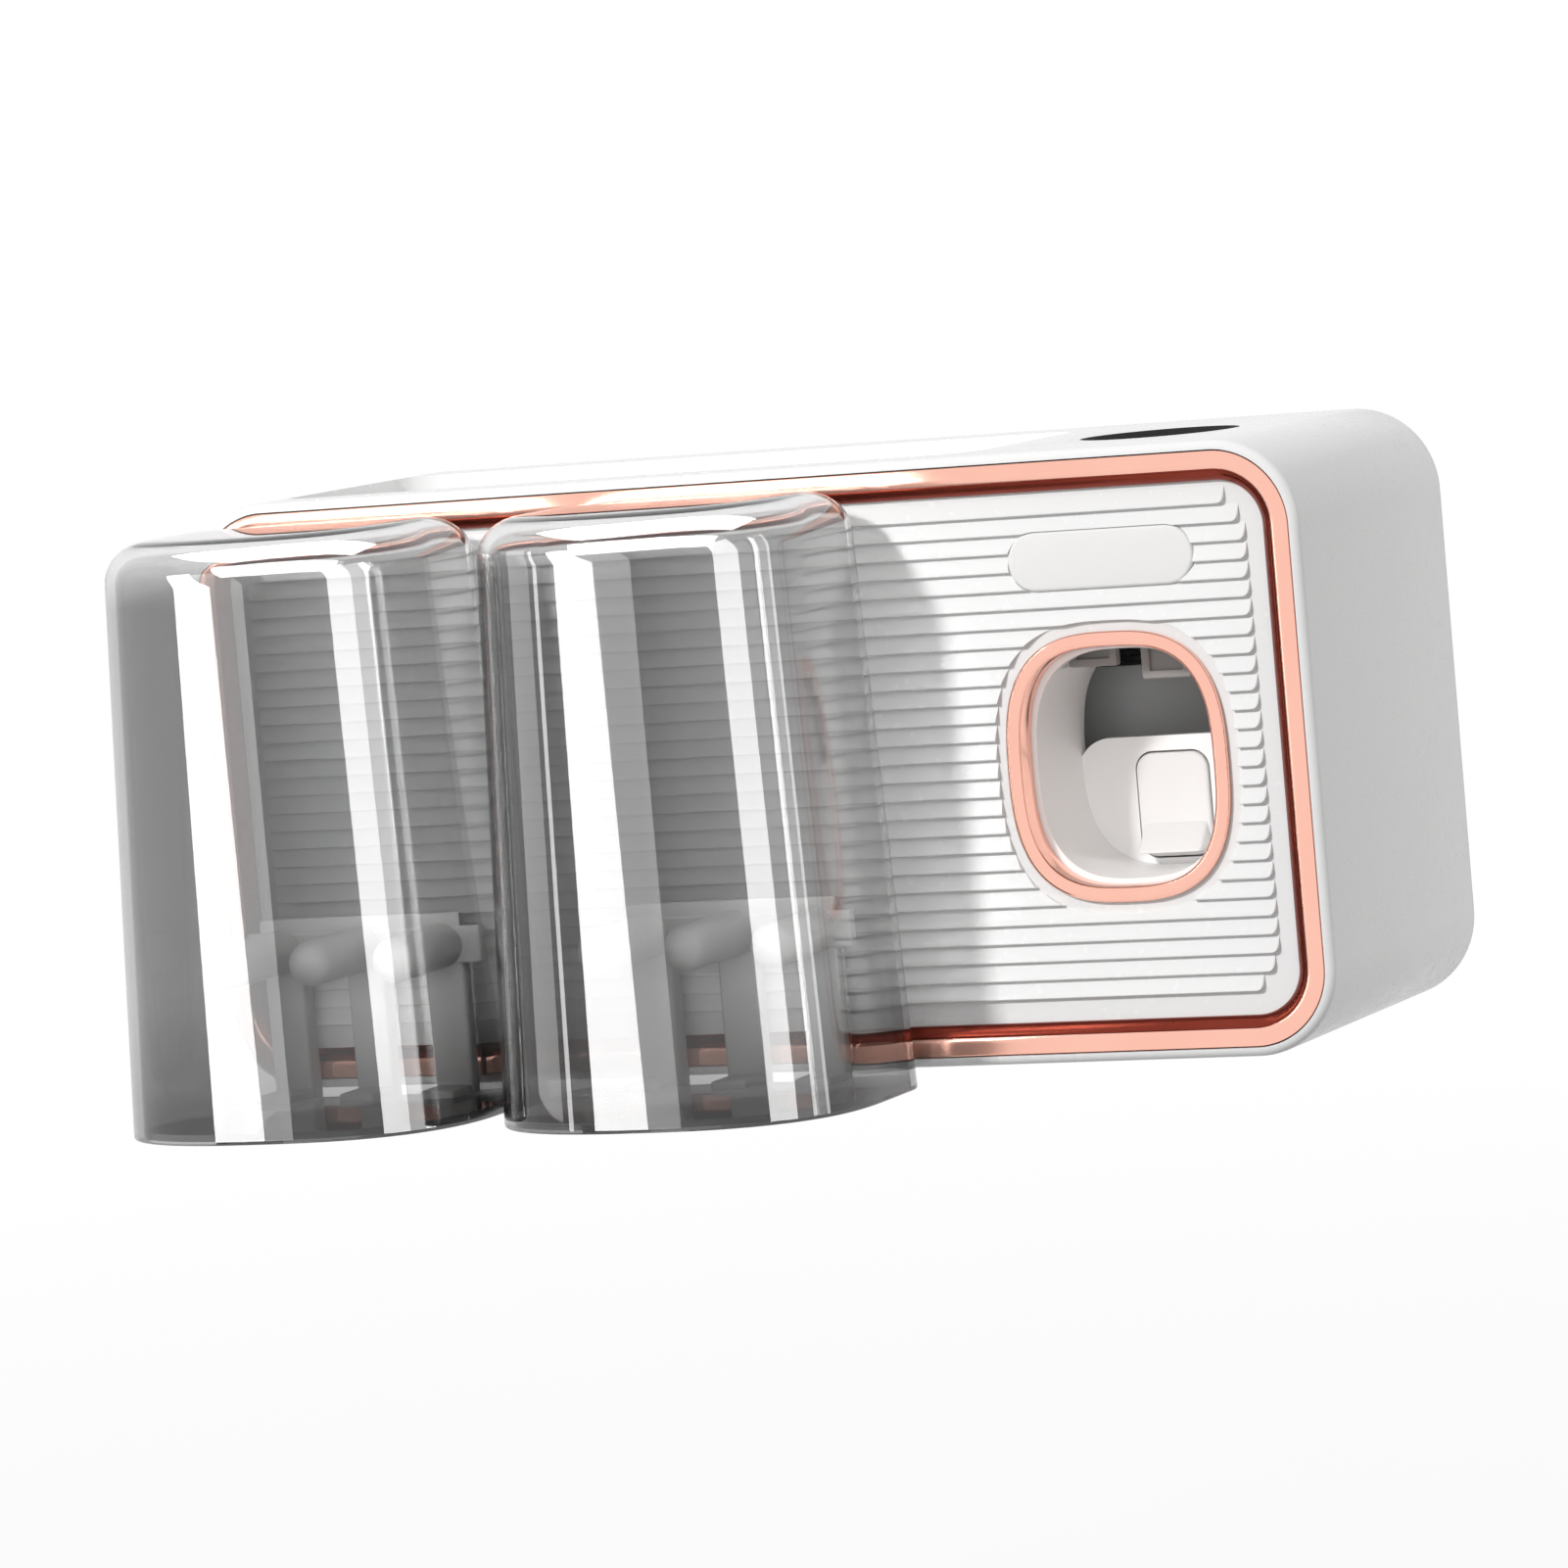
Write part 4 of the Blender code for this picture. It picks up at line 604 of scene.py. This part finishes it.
def make_trough():
    """The tub behind the window, with its nozzle mouth, half-height back wall and two pump posts."""
    front, flange_back, back = TUB_FRONT, 10.7, TUB_BACK
    tub = oval_plate("trough_tub", 24.8, 28.6, front, flange_back)
    pick(tub, "FACE", face_to(1, 1))
    inset((2.5, 0))
    push(back=back - flange_back)
    leave()
    hollow = oval_plate("trough hollow", 20.3, 24.1, front - 3, back + 3)
    socket = oval_plate("sleeve socket", *WINDOW_HOLE, front - 3, front + 2.8)
    mouth = block("nozzle mouth", (68.6, 11.6, 12), (97.8, 30, 29))
    bevel(mouth, edge_along(1), 1.5, 3)
    cut(tub, hollow, socket)

    def on_inner_lip(edge):
        corner = edge.verts[0].co / MM
        out = ((corner.x - WINDOW[0]) / 21.5) ** 2 + ((corner.z - WINDOW[1]) / 25.6) ** 2
        return edge_on(1, (FRONT + front + 2.8) * MM)(edge) and out < 1.45
    bevel(tub, on_inner_lip, 0.45, 4)
    wall_front, wall_top, half_width, half_height = 34, 0.6, 21.6, 15.4
    wall = plate("back wall", half_width, half_height, 8, wall_front, back - 0.3, WINDOW[0],
                 wall_top - half_height, segments=16)
    limit = oval_plate("limit", half_width, 25.4, wall_front - 4, back + 3)
    combine(wall, "INTERSECT", limit)
    bevel(wall, lambda edge: edge_on(1, (FRONT + wall_front) * MM)(edge)
          and min(vert.co.z for vert in edge.verts) > -9 * MM, 0.8, 4)
    join(tub, wall)
    gap = 0.4
    pad_hole = plate("pad hole", PAD_HALF_WIDTH + gap, PAD_HALF_HEIGHT + gap, PAD_CORNER + gap,
                     wall_front - 4, back + 3, WINDOW[0], PAD_LEVEL)
    cut(tub, mouth, pad_hole)
    for side in (-1, 1):
        x = WINDOW[0] + side * 13
        stem = post("pump post", 2.6, (x, back - 1.2, PAD_LEVEL), (x, 53.5, PAD_LEVEL), 24)
        join(tub, stem)
    dress(tub, SATIN_ABS, "body", "squeezer_trough", slot="white_liner")


def make_push_pad():
    """The pad: a rounded oblong with a sloping lip at its foot, and a bored boss for the rod behind it."""
    face, back = 33.2, 36.2
    pad = plate("pad_face", PAD_HALF_WIDTH, PAD_HALF_HEIGHT, PAD_CORNER, face, back, WINDOW[0], PAD_LEVEL,
                segments=12)
    bevel(pad, edge_on(1, (FRONT + face) * MM), 0.6, 4)
    lip = block("lip", (76, face - 5.5, -23.8), (90.4, face + 1.5, -17.6))
    for vert in lip.data.vertices:
        if vert.co.z > -18 * MM and vert.co.y < (FRONT + face) * MM:
            vert.co.y = (FRONT + face + 0.1) * MM
    bevel(lip, lambda edge: all(vert.co.y < (FRONT + face + 0.5) * MM for vert in edge.verts)
          or (edge_along(1)(edge) and edge.verts[0].co.z < -20 * MM), 0.8, 4)
    boss = post("boss", 4.2, (WINDOW[0], back - 1, PAD_LEVEL), (WINDOW[0], back + 4, PAD_LEVEL), 40)
    join(pad, lip, boss)
    cut(pad, post("socket", 2.8, (WINDOW[0], back, PAD_LEVEL), (WINDOW[0], back + 8, PAD_LEVEL), 32))
    dress(pad, PAD_ABS, "pad", "push_pad", slot="white_liner")


def make_lugs_and_nozzle():
    """The two hollowed lugs that hang from the top of the trough, and the nozzle between them."""
    for side, bottom, name in ((-1, 17.5, "guide_lug_left"), (1, 14.3, "guide_lug_right")):
        near_x = WINDOW[0] + side * 2.8
        far_x = near_x + side * 10.6
        front, back, top = 14, 16.2, 25.4
        tab = block(name + "_tab", (min(near_x, far_x), front, bottom), (max(near_x, far_x), back, top))
        pick(tab, "FACE", face_to(1, -1))
        inset((1.6, 0), (0.12, -0.1), (0.03, -0.7))
        leave()
        bevel(tab, lambda edge: edge_on(1, (FRONT + front) * MM)(edge)
              and max(abs(vert.co.z - bottom * MM) for vert in edge.verts) < 0.01 * MM
              or edge_along(1)(edge) and edge.verts[0].co.z < (bottom + 0.1) * MM, 0.5, 3)
        # Painted shade: the lugs take the darker grey for the shade they sit in
        dress(tab, LUG_SHADE_ABS, "body", name, slot="white_liner")
    spout = post("paste_spout", 4.4, (WINDOW[0], 21, 23.9), (WINDOW[0], 21, 25.4), 40)
    pick(spout, "FACE", face_to(2, -1))
    push(up=-1.5)
    bpy.ops.transform.resize(value=(0.57, 0.57, 1))
    inset((0.3, 0))
    leave()
    pick(spout, "FACE", face_to(2, 1))
    inset((2.2, 0))
    leave()
    tunnel(spout, lambda face: abs(face.normal.z) > 0.99 and len(face.verts) > 8)
    dress(spout, SATIN_ABS, "body", "nozzle", slot="white_liner")


def make_spring():
    """The coil round the pump rod, drawn as one wire."""
    start, length, turns, steps, radius = 36.95, 16.1, 7, 28, 6.2
    points = []
    for number in range(turns * steps + 1):
        angle = math.tau * number / steps
        depth = start + length * number / (turns * steps)
        points.append(at(WINDOW[0] + radius * math.cos(angle), depth,
                         PAD_LEVEL + radius * math.sin(angle)))
    curve = bpy.data.curves.new("coil", "CURVE")
    curve.dimensions = "3D"
    curve.bevel_depth = 0.45 * MM
    curve.bevel_resolution = 3
    curve.use_fill_caps = True
    spline = curve.splines.new("POLY")
    spline.points.add(len(points) - 1)
    for point, place in zip(spline.points, points):
        point.co = (*place, 1)
    coil = bpy.data.objects.new("coil_wire", curve)
    bpy.context.collection.objects.link(coil)
    choose(coil)
    bpy.ops.object.convert(target="MESH")
    dress(bpy.context.object, STAINLESS, "body", "return_spring", slot="steel")
    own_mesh(bpy.context.object)


# Cups

def cup_ring():
    """The cup's plan in millimetres: a flat back, short sides and a squared-off round front."""
    side = CUP_DEPTH * 0.42
    nose, power = CUP_DEPTH - side, 2 / 2.6
    front = []
    steps = CUP_SIDES // 2
    for step in range(steps + 1):
        angle = math.pi + math.pi * step / steps
        across, ahead = math.cos(angle), abs(math.sin(angle))
        front.append((CUP_HALF_WIDTH * math.copysign(abs(across) ** power, across),
                      -side - nose * ahead ** power))
    rear = []
    left_over = CUP_SIDES - len(front)
    for quarter, count in ((0, left_over // 2), (1, left_over - left_over // 2)):
        middle = (CUP_HALF_WIDTH - CUP_CORNER) * (1 - 2 * quarter)
        for step in range(count):
            angle = math.pi / 2 * (quarter + step / (count - 1))
            rear.append((middle + CUP_CORNER * math.cos(angle), -CUP_CORNER + CUP_CORNER * math.sin(angle)))
    return front + rear


def make_cup(side):
    """An upside-down cup: drawn up from its mouth with a slight draft, rounded at the closed end."""
    middle = CUP_MIDDLES[side]
    back, rim, top, shoulder = CUP_BACK, CUP_RIM, CUP_TOP, CUP_SHOULDER
    side_draft, depth_draft, wall = 4.4, 5, 2.2
    bpy.ops.object.select_all(action="DESELECT")
    bpy.ops.mesh.primitive_circle_add(vertices=CUP_SIDES, radius=1, fill_type="NGON")
    cup = settle(f"cup_{side}_shell")
    for vert, (x, y) in zip(cup.data.vertices, cup_ring()):
        vert.co = at(middle + x, back + y, rim)

    # The close pairs of levels at both ends of the straight wall keep its shading even
    wall_top = top - shoulder
    levels = (rim + 0.8, rim + 30, rim + 60, rim + 90, wall_top - 0.8, wall_top)
    sections = [(level, 0) for level in levels]
    for step in range(1, 10):
        angle = math.pi / 2 * step / 9
        sections.append((wall_top + shoulder * math.sin(angle), shoulder * (1 - math.cos(angle))))
    size, height, centre = (CUP_HALF_WIDTH, CUP_DEPTH), rim, back - CUP_DEPTH / 2
    pick(cup, "FACE", lambda face: True)
    for level, inward in sections:
        share = (level - rim) / (top - rim)
        half_width, depth = CUP_HALF_WIDTH - side_draft * share, CUP_DEPTH - depth_draft * share
        new = (half_width - inward, depth - 2 * inward)
        push(up=level - height)
        bpy.ops.transform.resize(value=(new[0] / size[0], new[1] / size[1], 1),
                                 center_override=at(middle, centre, level))
        bpy.ops.transform.translate(value=(0, (back - depth / 2 - centre) * MM, 0))
        size, height, centre = new, level, back - depth / 2
    inset((3, 0), (3, 0))
    leave()
    clean(cup)
    apply(cup, "SOLIDIFY", thickness=wall * MM, offset=-1, use_even_offset=True, use_quality_normals=True)
    notch = block("notch", (middle - 24.6, back - 6, rim - 3), (middle + 24.6, back + 3, -28.7))
    bevel(notch, lambda edge: edge_along(1)(edge) and edge.verts[0].co.z > -30 * MM, 3, 8)
    cut(cup, notch)
    bevel(cup, edge_on(2, rim * MM), 0.5, 3)
    dress(cup, CLEAR_SAN, f"cup_{side}", f"cup_{side}", slot="clear_plastic", clean_up=False)
    # Painted light: the flat back wall takes the lighter SAN
    second_finish(cup, BACK_WALL_LIT_SAN, lambda face: face.center.y > (FRONT - 3.4) * MM
                  and abs(face.normal.y) > 0.9)


# Racks

def make_rack(side):
    """A rack: a rail whose lip takes the cup's notch, and three round-nosed pegs on footed posts."""
    middle, bottom, foot_front = CUP_MIDDLES[side], -66, -15
    half_rail, half_lip = 27.5, 24.3
    rail = block(f"rack_{side}_rail", (middle - half_rail, -5.5, -37), (middle + half_rail, -3.3, -29))
    bevel(rail, lambda edge: True, 0.5, 3)
    lip = block("lip", (middle - half_lip, -5.2, PEG_LEVEL), (middle + half_lip, -3.6, -26))
    bevel(lip, lambda edge: min(vert.co.z for vert in edge.verts) > -27 * MM, 0.6, 3)
    neck = block("neck", (middle - half_lip, -4.4, -36.7), (middle + half_lip, 2.2, -29.3))
    join(rail, lip, neck)
    for number in (-1, 0, 1):
        x = middle + number * PEG_SPACING
        stem = block("stem", (x - 4.5, -5.2, bottom), (x + 4.5, -0.3, PEG_LEVEL))
        bevel(stem, lambda edge: edge_along(2)(edge) or edge_on(2, bottom * MM)(edge), 0.7, 3)
        foot = block("foot", (x - 4.2, foot_front, bottom + 0.3), (x + 4.2, -0.6, bottom + 2.8))
        bevel(foot, lambda edge: edge_on(1, (FRONT + foot_front) * MM)(edge) or edge_along(1)(edge), 0.7, 3)
        peg = post("peg", PEG_RADIUS, (x, -4.4, PEG_LEVEL), (x, -29.2, PEG_LEVEL), 40)
        pick(peg, "FACE", face_to(1, -1))
        for step in range(1, 7):
            angle = math.pi / 2 * step / 6
            last = math.pi / 2 * (step - 1) / 6
            ratio = max(math.cos(angle), 0.02) / max(math.cos(last), 0.02)
            push(back=-PEG_RADIUS * (math.sin(angle) - math.sin(last)))
            bpy.ops.transform.resize(value=(ratio, 1, ratio))
        leave()
        join(rail, stem, foot, peg)
    for number in (-1, 1):
        x = middle + number * PEG_SPACING
        cut(rail, post("bore", BORE_RADIUS, (x, -3.2, PEG_LEVEL), (x, 6, PEG_LEVEL), 20))
    dress(rail, GREY_PP, "body", f"rack_{side}", slot="grey_plastic")


# Back and small pieces

def make_screw(node):
    """A pan-head screw with a cross recess and a thread of plain ridges, put in from behind."""
    length, radius, head, rise = 14, 1.5, 3.0, 1.5
    low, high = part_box(node)
    x, z = (low.x + high.x) / 2 / MM, (low.z + high.z) / 2 / MM
    seat = high.y / MM - FRONT - rise
    screw = post(node + "_turned", head, (x, seat, z), (x, seat + rise, z), 40)
    bevel(screw, edge_on(1, (FRONT + seat + rise) * MM), 0.7, 4)
    core = post("core", radius * 0.8, (x, seat + 0.4, z), (x, seat - length + 1.2, z), 28)
    pick(core, "FACE", face_to(1, -1))
    push(back=-1.2)
    bpy.ops.transform.resize(value=(0.15, 1, 0.15))
    leave()
    join(screw, core)
    for turn in (0, 90):
        slot = block("cross", (x - 1.6, seat + rise - 0.9, z - 0.28), (x + 1.6, seat + rise + 1, z + 0.28))
        if turn:
            pick(slot, "VERT", lambda vert: True)
            bpy.ops.transform.rotate(value=math.pi / 2, orient_axis="Y", center_override=at(x, seat, z))
            leave()
        cut(screw, slot)
    ridges, thread_pitch, start = [], 0.7, seat
    while start - thread_pitch > seat - length + 1.6:
        start -= thread_pitch
        ridges.append(post("ridge", radius, (x, start, z), (x, start - thread_pitch * 0.45, z), 28,
                           tip=radius * 0.82))
    choose(*ridges)
    bpy.ops.object.join()
    join(screw, ridges[0])
    dress(screw, ZINC, "body", node, slot="steel")


def make_back():
    """The slotted rear cover, the steel hanger with its two upturned tongues, and the foam tape."""
    cover = plate("back_cover", FRAME_HALF_WIDTH, FRAME_HALF_HEIGHT, FRAME_CORNER, 89.6, BODY_DEPTH,
                  segments=24)
    bevel(cover, edge_on(1, (FRONT + BODY_DEPTH) * MM), 0.5, 3)
    inside, outside = 86, 95
    for middle in (-HOOK_MIDDLE, HOOK_MIDDLE):
        slot = block("slot", (middle - 12.6, inside, 11.3), (middle + 12.6, outside, 22.7))
        bevel(slot, edge_along(1), 1.5, 5)
        cut(cover, slot)
    for x in (-118.8, 118.8):
        for z in (-54.8, 54.8):
            cut(cover, post("hole", 1.8, (x, inside, z), (x, outside, z), 24),
                post("sink", 3.3, (x, 90.2, z), (x, outside, z), 32))
    dress(cover, SATIN_ABS, "body", "rear_cover", slot="white_abs")

    sheet = plate("hanger_sheet", 82, 40, 6, HANGER_FRONT, HANGER_FRONT + 2, segments=10)
    bevel(sheet, edge_on(1, (FRONT + HANGER_FRONT) * MM), 0.3, 2)
    for middle in (-HOOK_MIDDLE, HOOK_MIDDLE):
        neck = block("neck", (middle - 12, 82.7, 20), (middle + 12, HANGER_FRONT + 1, 22.4))
        lip = block("lip", (middle - 12, 82.7, 20.6), (middle + 12, 85.1, 28.4))
        bevel(lip, lambda edge: min(vert.co.z for vert in edge.verts) > 28 * MM, 0.8, 4)
        join(neck, lip)
        join(sheet, neck)
    dress(sheet, STAINLESS, "body", "wall_hanger", slot="steel")

    tape_front = 94.6
    tape = block("foam_tape", (-75, tape_front, -33), (75, 95.6, 33))
    bevel(tape, edge_along(1), 3, 6)
    bevel(tape, edge_on(1, (FRONT + tape_front) * MM), 0.2, 2)
    dress(tape, FOAM, "body", "adhesive_pad", slot="foam_tape")


make_housing()
make_trim_frame()
make_front_panel()
make_badge()
make_window_ring()
make_trough()
make_push_pad()
make_lugs_and_nozzle()
make_spring()
for side in CUP_MIDDLES:
    make_cup(side)
    make_rack(side)
make_back()
for number in range(1, 5):
    make_screw(f"cover_screw_{number}")

# The small pieces inside the housing keep their CAD shape and only get a finish
for node, finish in {
    "pump_cylinder": ACETAL, "pump_head": ACETAL, "piston": ACETAL, "piston_seal": SILICONE,
    "inlet_valve": SILICONE, "outlet_valve": SILICONE, "tube_seat": SILICONE, "pump_rod": STAINLESS,
    "pump_screw_left": ZINC, "pump_screw_right": ZINC, "rack_left_screw_a": ZINC,
    "rack_left_screw_b": ZINC, "rack_right_screw_a": ZINC, "rack_right_screw_b": ZINC,
}.items():
    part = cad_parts[node]
    part.data.materials.clear()
    part.data.materials.append(finish)


# Stage, camera and light

def seen_directly(tree):
    """1 for the camera and for rays that come off a shiny surface or through the clear plastic."""
    path = add(tree, "ShaderNodeLightPath")
    seen = add(tree, "ShaderNodeMath", {0: path.outputs["Is Camera Ray"],
                                        1: path.outputs["Is Transmission Ray"]}, operation="MAXIMUM")
    return add(tree, "ShaderNodeMath", {0: seen.outputs[0], 1: path.outputs["Is Glossy Ray"]},
               operation="MAXIMUM").outputs[0]


def make_stage():
    """A pale floor that fades to white away from the middle, and a soft room. Both look plain white
    where they are seen, and light the pieces more softly than that."""
    floor_level, fade_start, fade_end = -0.22, 0.25, 1.1
    bpy.ops.object.select_all(action="DESELECT")
    bpy.ops.mesh.primitive_plane_add(size=60, location=(0, 0, floor_level))
    floor = settle("floor")
    material, tree = new_finish("pale painted floor")
    place = add(tree, "ShaderNodeTexCoord").outputs["Object"]
    reach = add(tree, "ShaderNodeVectorMath", {0: place}, operation="LENGTH")
    fade = add(tree, "ShaderNodeMapRange", {"Value": reach.outputs["Value"], "From Min": fade_start,
                                            "From Max": fade_end, "To Min": 0.94, "To Max": 1.0})
    paint = add(tree, "ShaderNodeBsdfDiffuse", {"Color": linear("#9A9A9A")})
    white = add(tree, "ShaderNodeEmission", {"Color": (1, 1, 1, 1), "Strength": 1.0})
    share = add(tree, "ShaderNodeMath", {0: seen_directly(tree), 1: fade.outputs[0]}, operation="MULTIPLY")
    mix = add(tree, "ShaderNodeMixShader", {0: share.outputs[0], 1: paint.outputs[0], 2: white.outputs[0]})
    add(tree, "ShaderNodeOutputMaterial", {"Surface": mix.outputs[0]})
    floor.data.materials.append(material)

    world = bpy.data.worlds.new("soft room")
    bpy.context.scene.world = world
    world.use_nodes = True
    tree = world.node_tree
    tree.nodes.clear()
    room = add(tree, "ShaderNodeBackground", {"Color": (1, 1, 1, 1), "Strength": 0.525})
    white = add(tree, "ShaderNodeBackground", {"Color": (1, 1, 1, 1), "Strength": 1.0})
    mix = add(tree, "ShaderNodeMixShader", {0: seen_directly(tree), 1: room.outputs[0], 2: white.outputs[0]})
    add(tree, "ShaderNodeOutputWorld", {"Surface": mix.outputs[0]})


# The spot between the two cups, across and back in metres, round which the strips stand
CUPS = (-0.05, -0.13)

# A lamp that is given one of these collections lights and shows in nothing else
CLEAR_PIECES = bpy.data.collections.new("clear pieces")
ONE_CUP = {}
for side in CUP_MIDDLES:
    ONE_CUP[side] = bpy.data.collections.new(f"{side} cup alone")
    for collection in (CLEAR_PIECES, ONE_CUP[side]):
        collection.objects.link(bpy.data.objects[f"cup_{side}_shell"])
WINDOW_PIECES = bpy.data.collections.new("window pieces")
for name in ("trough_tub", "pad_face", "paste_spout", "pump_head", "pump_cylinder", "back_cover",
             "hanger_sheet"):
    WINDOW_PIECES.objects.link(bpy.data.objects[name])
GOLD_PIECES = bpy.data.collections.new("gold pieces")
for name in ("trim_ring", "window_ring"):
    GOLD_PIECES.objects.link(bpy.data.objects[name])


def softbox(name, place, target, width, height, power, lights=True, shows=False, through=False,
            only=None, lean=0):
    """A rectangular lamp, sized in metres. It lights surfaces, shows as a reflection in them, or shines
    through the cups' walls."""
    bpy.ops.object.light_add(type="AREA", location=place)
    lamp = bpy.context.object
    lamp.name = name
    lamp.data.shape = "RECTANGLE"
    lamp.data.size, lamp.data.size_y = width, height
    lamp.data.energy = power
    lamp.visible_diffuse, lamp.visible_glossy = lights, shows
    lamp.visible_transmission = through
    if only:
        lamp.light_linking.receiver_collection = only
    lamp.rotation_mode = "QUATERNION"
    turn = (Vector(place) - Vector(target)).to_track_quat("Z", "Y")
    lamp.rotation_quaternion = turn @ Quaternion((0, 0, 1), math.radians(lean))


def reflection_strip(name, start, end, glow, lean=18, only=CLEAR_PIECES, shows=True, through=False):
    """A tall lamp that lights no surface and only shows as a streak: in the cups, through their walls
    or in the gold. It stands between two angles round the cups, 0 ahead of them and 90 to their right,
    and leans so that the streak runs down a cup's sloping wall."""
    away, height, level = 2.4, 1.7, 0.3
    angle = math.radians(start + end) / 2
    width = 2 * away * math.tan(math.radians(end - start) / 2)
    place = (CUPS[0] + away * math.sin(angle), CUPS[1] - away * math.cos(angle), level)
    softbox(name, place, (*CUPS, level), width, height, glow * math.pi * width * height,
            lights=False, shows=shows, through=through, only=only, lean=lean)


def make_camera():
    """The camera of the photograph, from the outline of the body and the frame."""
    yaw, rise, roll = (math.radians(angle) for angle in (24.0, 4.92, -5.05))
    aim, distance = at(8.55, 0, -2.49), 1.6339
    away = Vector((math.sin(yaw) * math.cos(rise), -math.cos(yaw) * math.cos(rise), math.sin(rise)))
    level = Vector((0, 0, 1)).cross(away).normalized()
    upright = away.cross(level)
    right = math.cos(roll) * level + math.sin(roll) * upright
    up = math.cos(roll) * upright - math.sin(roll) * level
    data = bpy.data.cameras.new("photo camera")
    data.lens, data.sensor_width = 177.77, 36
    data.clip_start, data.clip_end = 0.05, 60
    camera = bpy.data.objects.new("photo camera", data)
    bpy.context.scene.collection.objects.link(camera)
    turn = Matrix((right, up, away)).transposed().to_4x4()
    camera.matrix_world = Matrix.Translation(aim + away * distance) @ turn
    bpy.context.scene.camera = camera


make_stage()
make_camera()
# The key shines from the upper left, the top and side lamps fill in, and the last three lift the cups'
# greys and the window's inside
softbox("key", (-0.69, -2.06, 1.18), (0, -0.1, 0), 0.22, 0.22, 37)
softbox("top", (0, -0.2, 1.6), (0, -0.05, 0), 1.4, 1.0, 0.6, through=True)
softbox("side", (1.8, 0.1, 0.3), (0.13, -0.05, 0), 1.0, 1.0, 3.5)
for side, power in (("left", 54), ("right", 27)):
    softbox(f"{side} cup fill", (0.5, -1.8, 0.9), (*CUPS, 0), 2.4, 1.6, power, lights=False, through=True,
            only=ONE_CUP[side])
softbox("window fill", (0.55, -1.5, 0.1), (0.083, -0.08, 0), 0.5, 0.5, 5.5, only=WINDOW_PIECES)

# The streaks of the left cup, of the right cup and of the gold: bright ones, each with a fainter one
# beside it. Those far to the right lean less
for name, start, end, glow in (
        ("left strip", -42, -31, 17), ("left soft strip", -30.5, -23, 4), ("second strip", 33, 56, 13),
        ("inner soft strip", 57, 72, 6), ("inner strip", 72.5, 82, 14)):
    reflection_strip(name, start, end, glow, only=ONE_CUP["left"])
reflection_strip("strip seen through", 84, 90, 16, lean=8, shows=False, through=True)
for name, start, end, glow in (
        ("right strip", -37, -26, 17), ("right soft strip", -25.5, -16, 3.6), ("thin strip", -50, -47.5, 9),
        ("thin soft strip", -72, -54, 3), ("last strip", 39, 62, 12), ("last soft strip", 62.5, 77, 1.5)):
    reflection_strip(name, start, end, glow, only=ONE_CUP["right"])
for name, start, end, glow in (
        ("third strip", 80, 84, 5), ("third soft strip", 85.5, 94, 2.5), ("fourth strip", 94.5, 98, 7)):
    reflection_strip(name, start, end, glow, lean=8, only=ONE_CUP["right"])
reflection_strip("gold strip", -75, -45, 1.7, lean=0, only=GOLD_PIECES)

# Two wide boxes that gleam on the cups' rounded closed ends
softbox("shoulder box", (0.1, -1.5, 0.9), (*CUPS, 0.06), 2.2, 0.9, 120, lights=False, shows=True,
        only=CLEAR_PIECES)
softbox("overhead box", (0, -0.3, 1.5), (*CUPS, 0.06), 2.2, 1.2, 150, lights=False, shows=True,
        only=CLEAR_PIECES)
bpy.context.scene.view_settings.view_transform = "Standard"
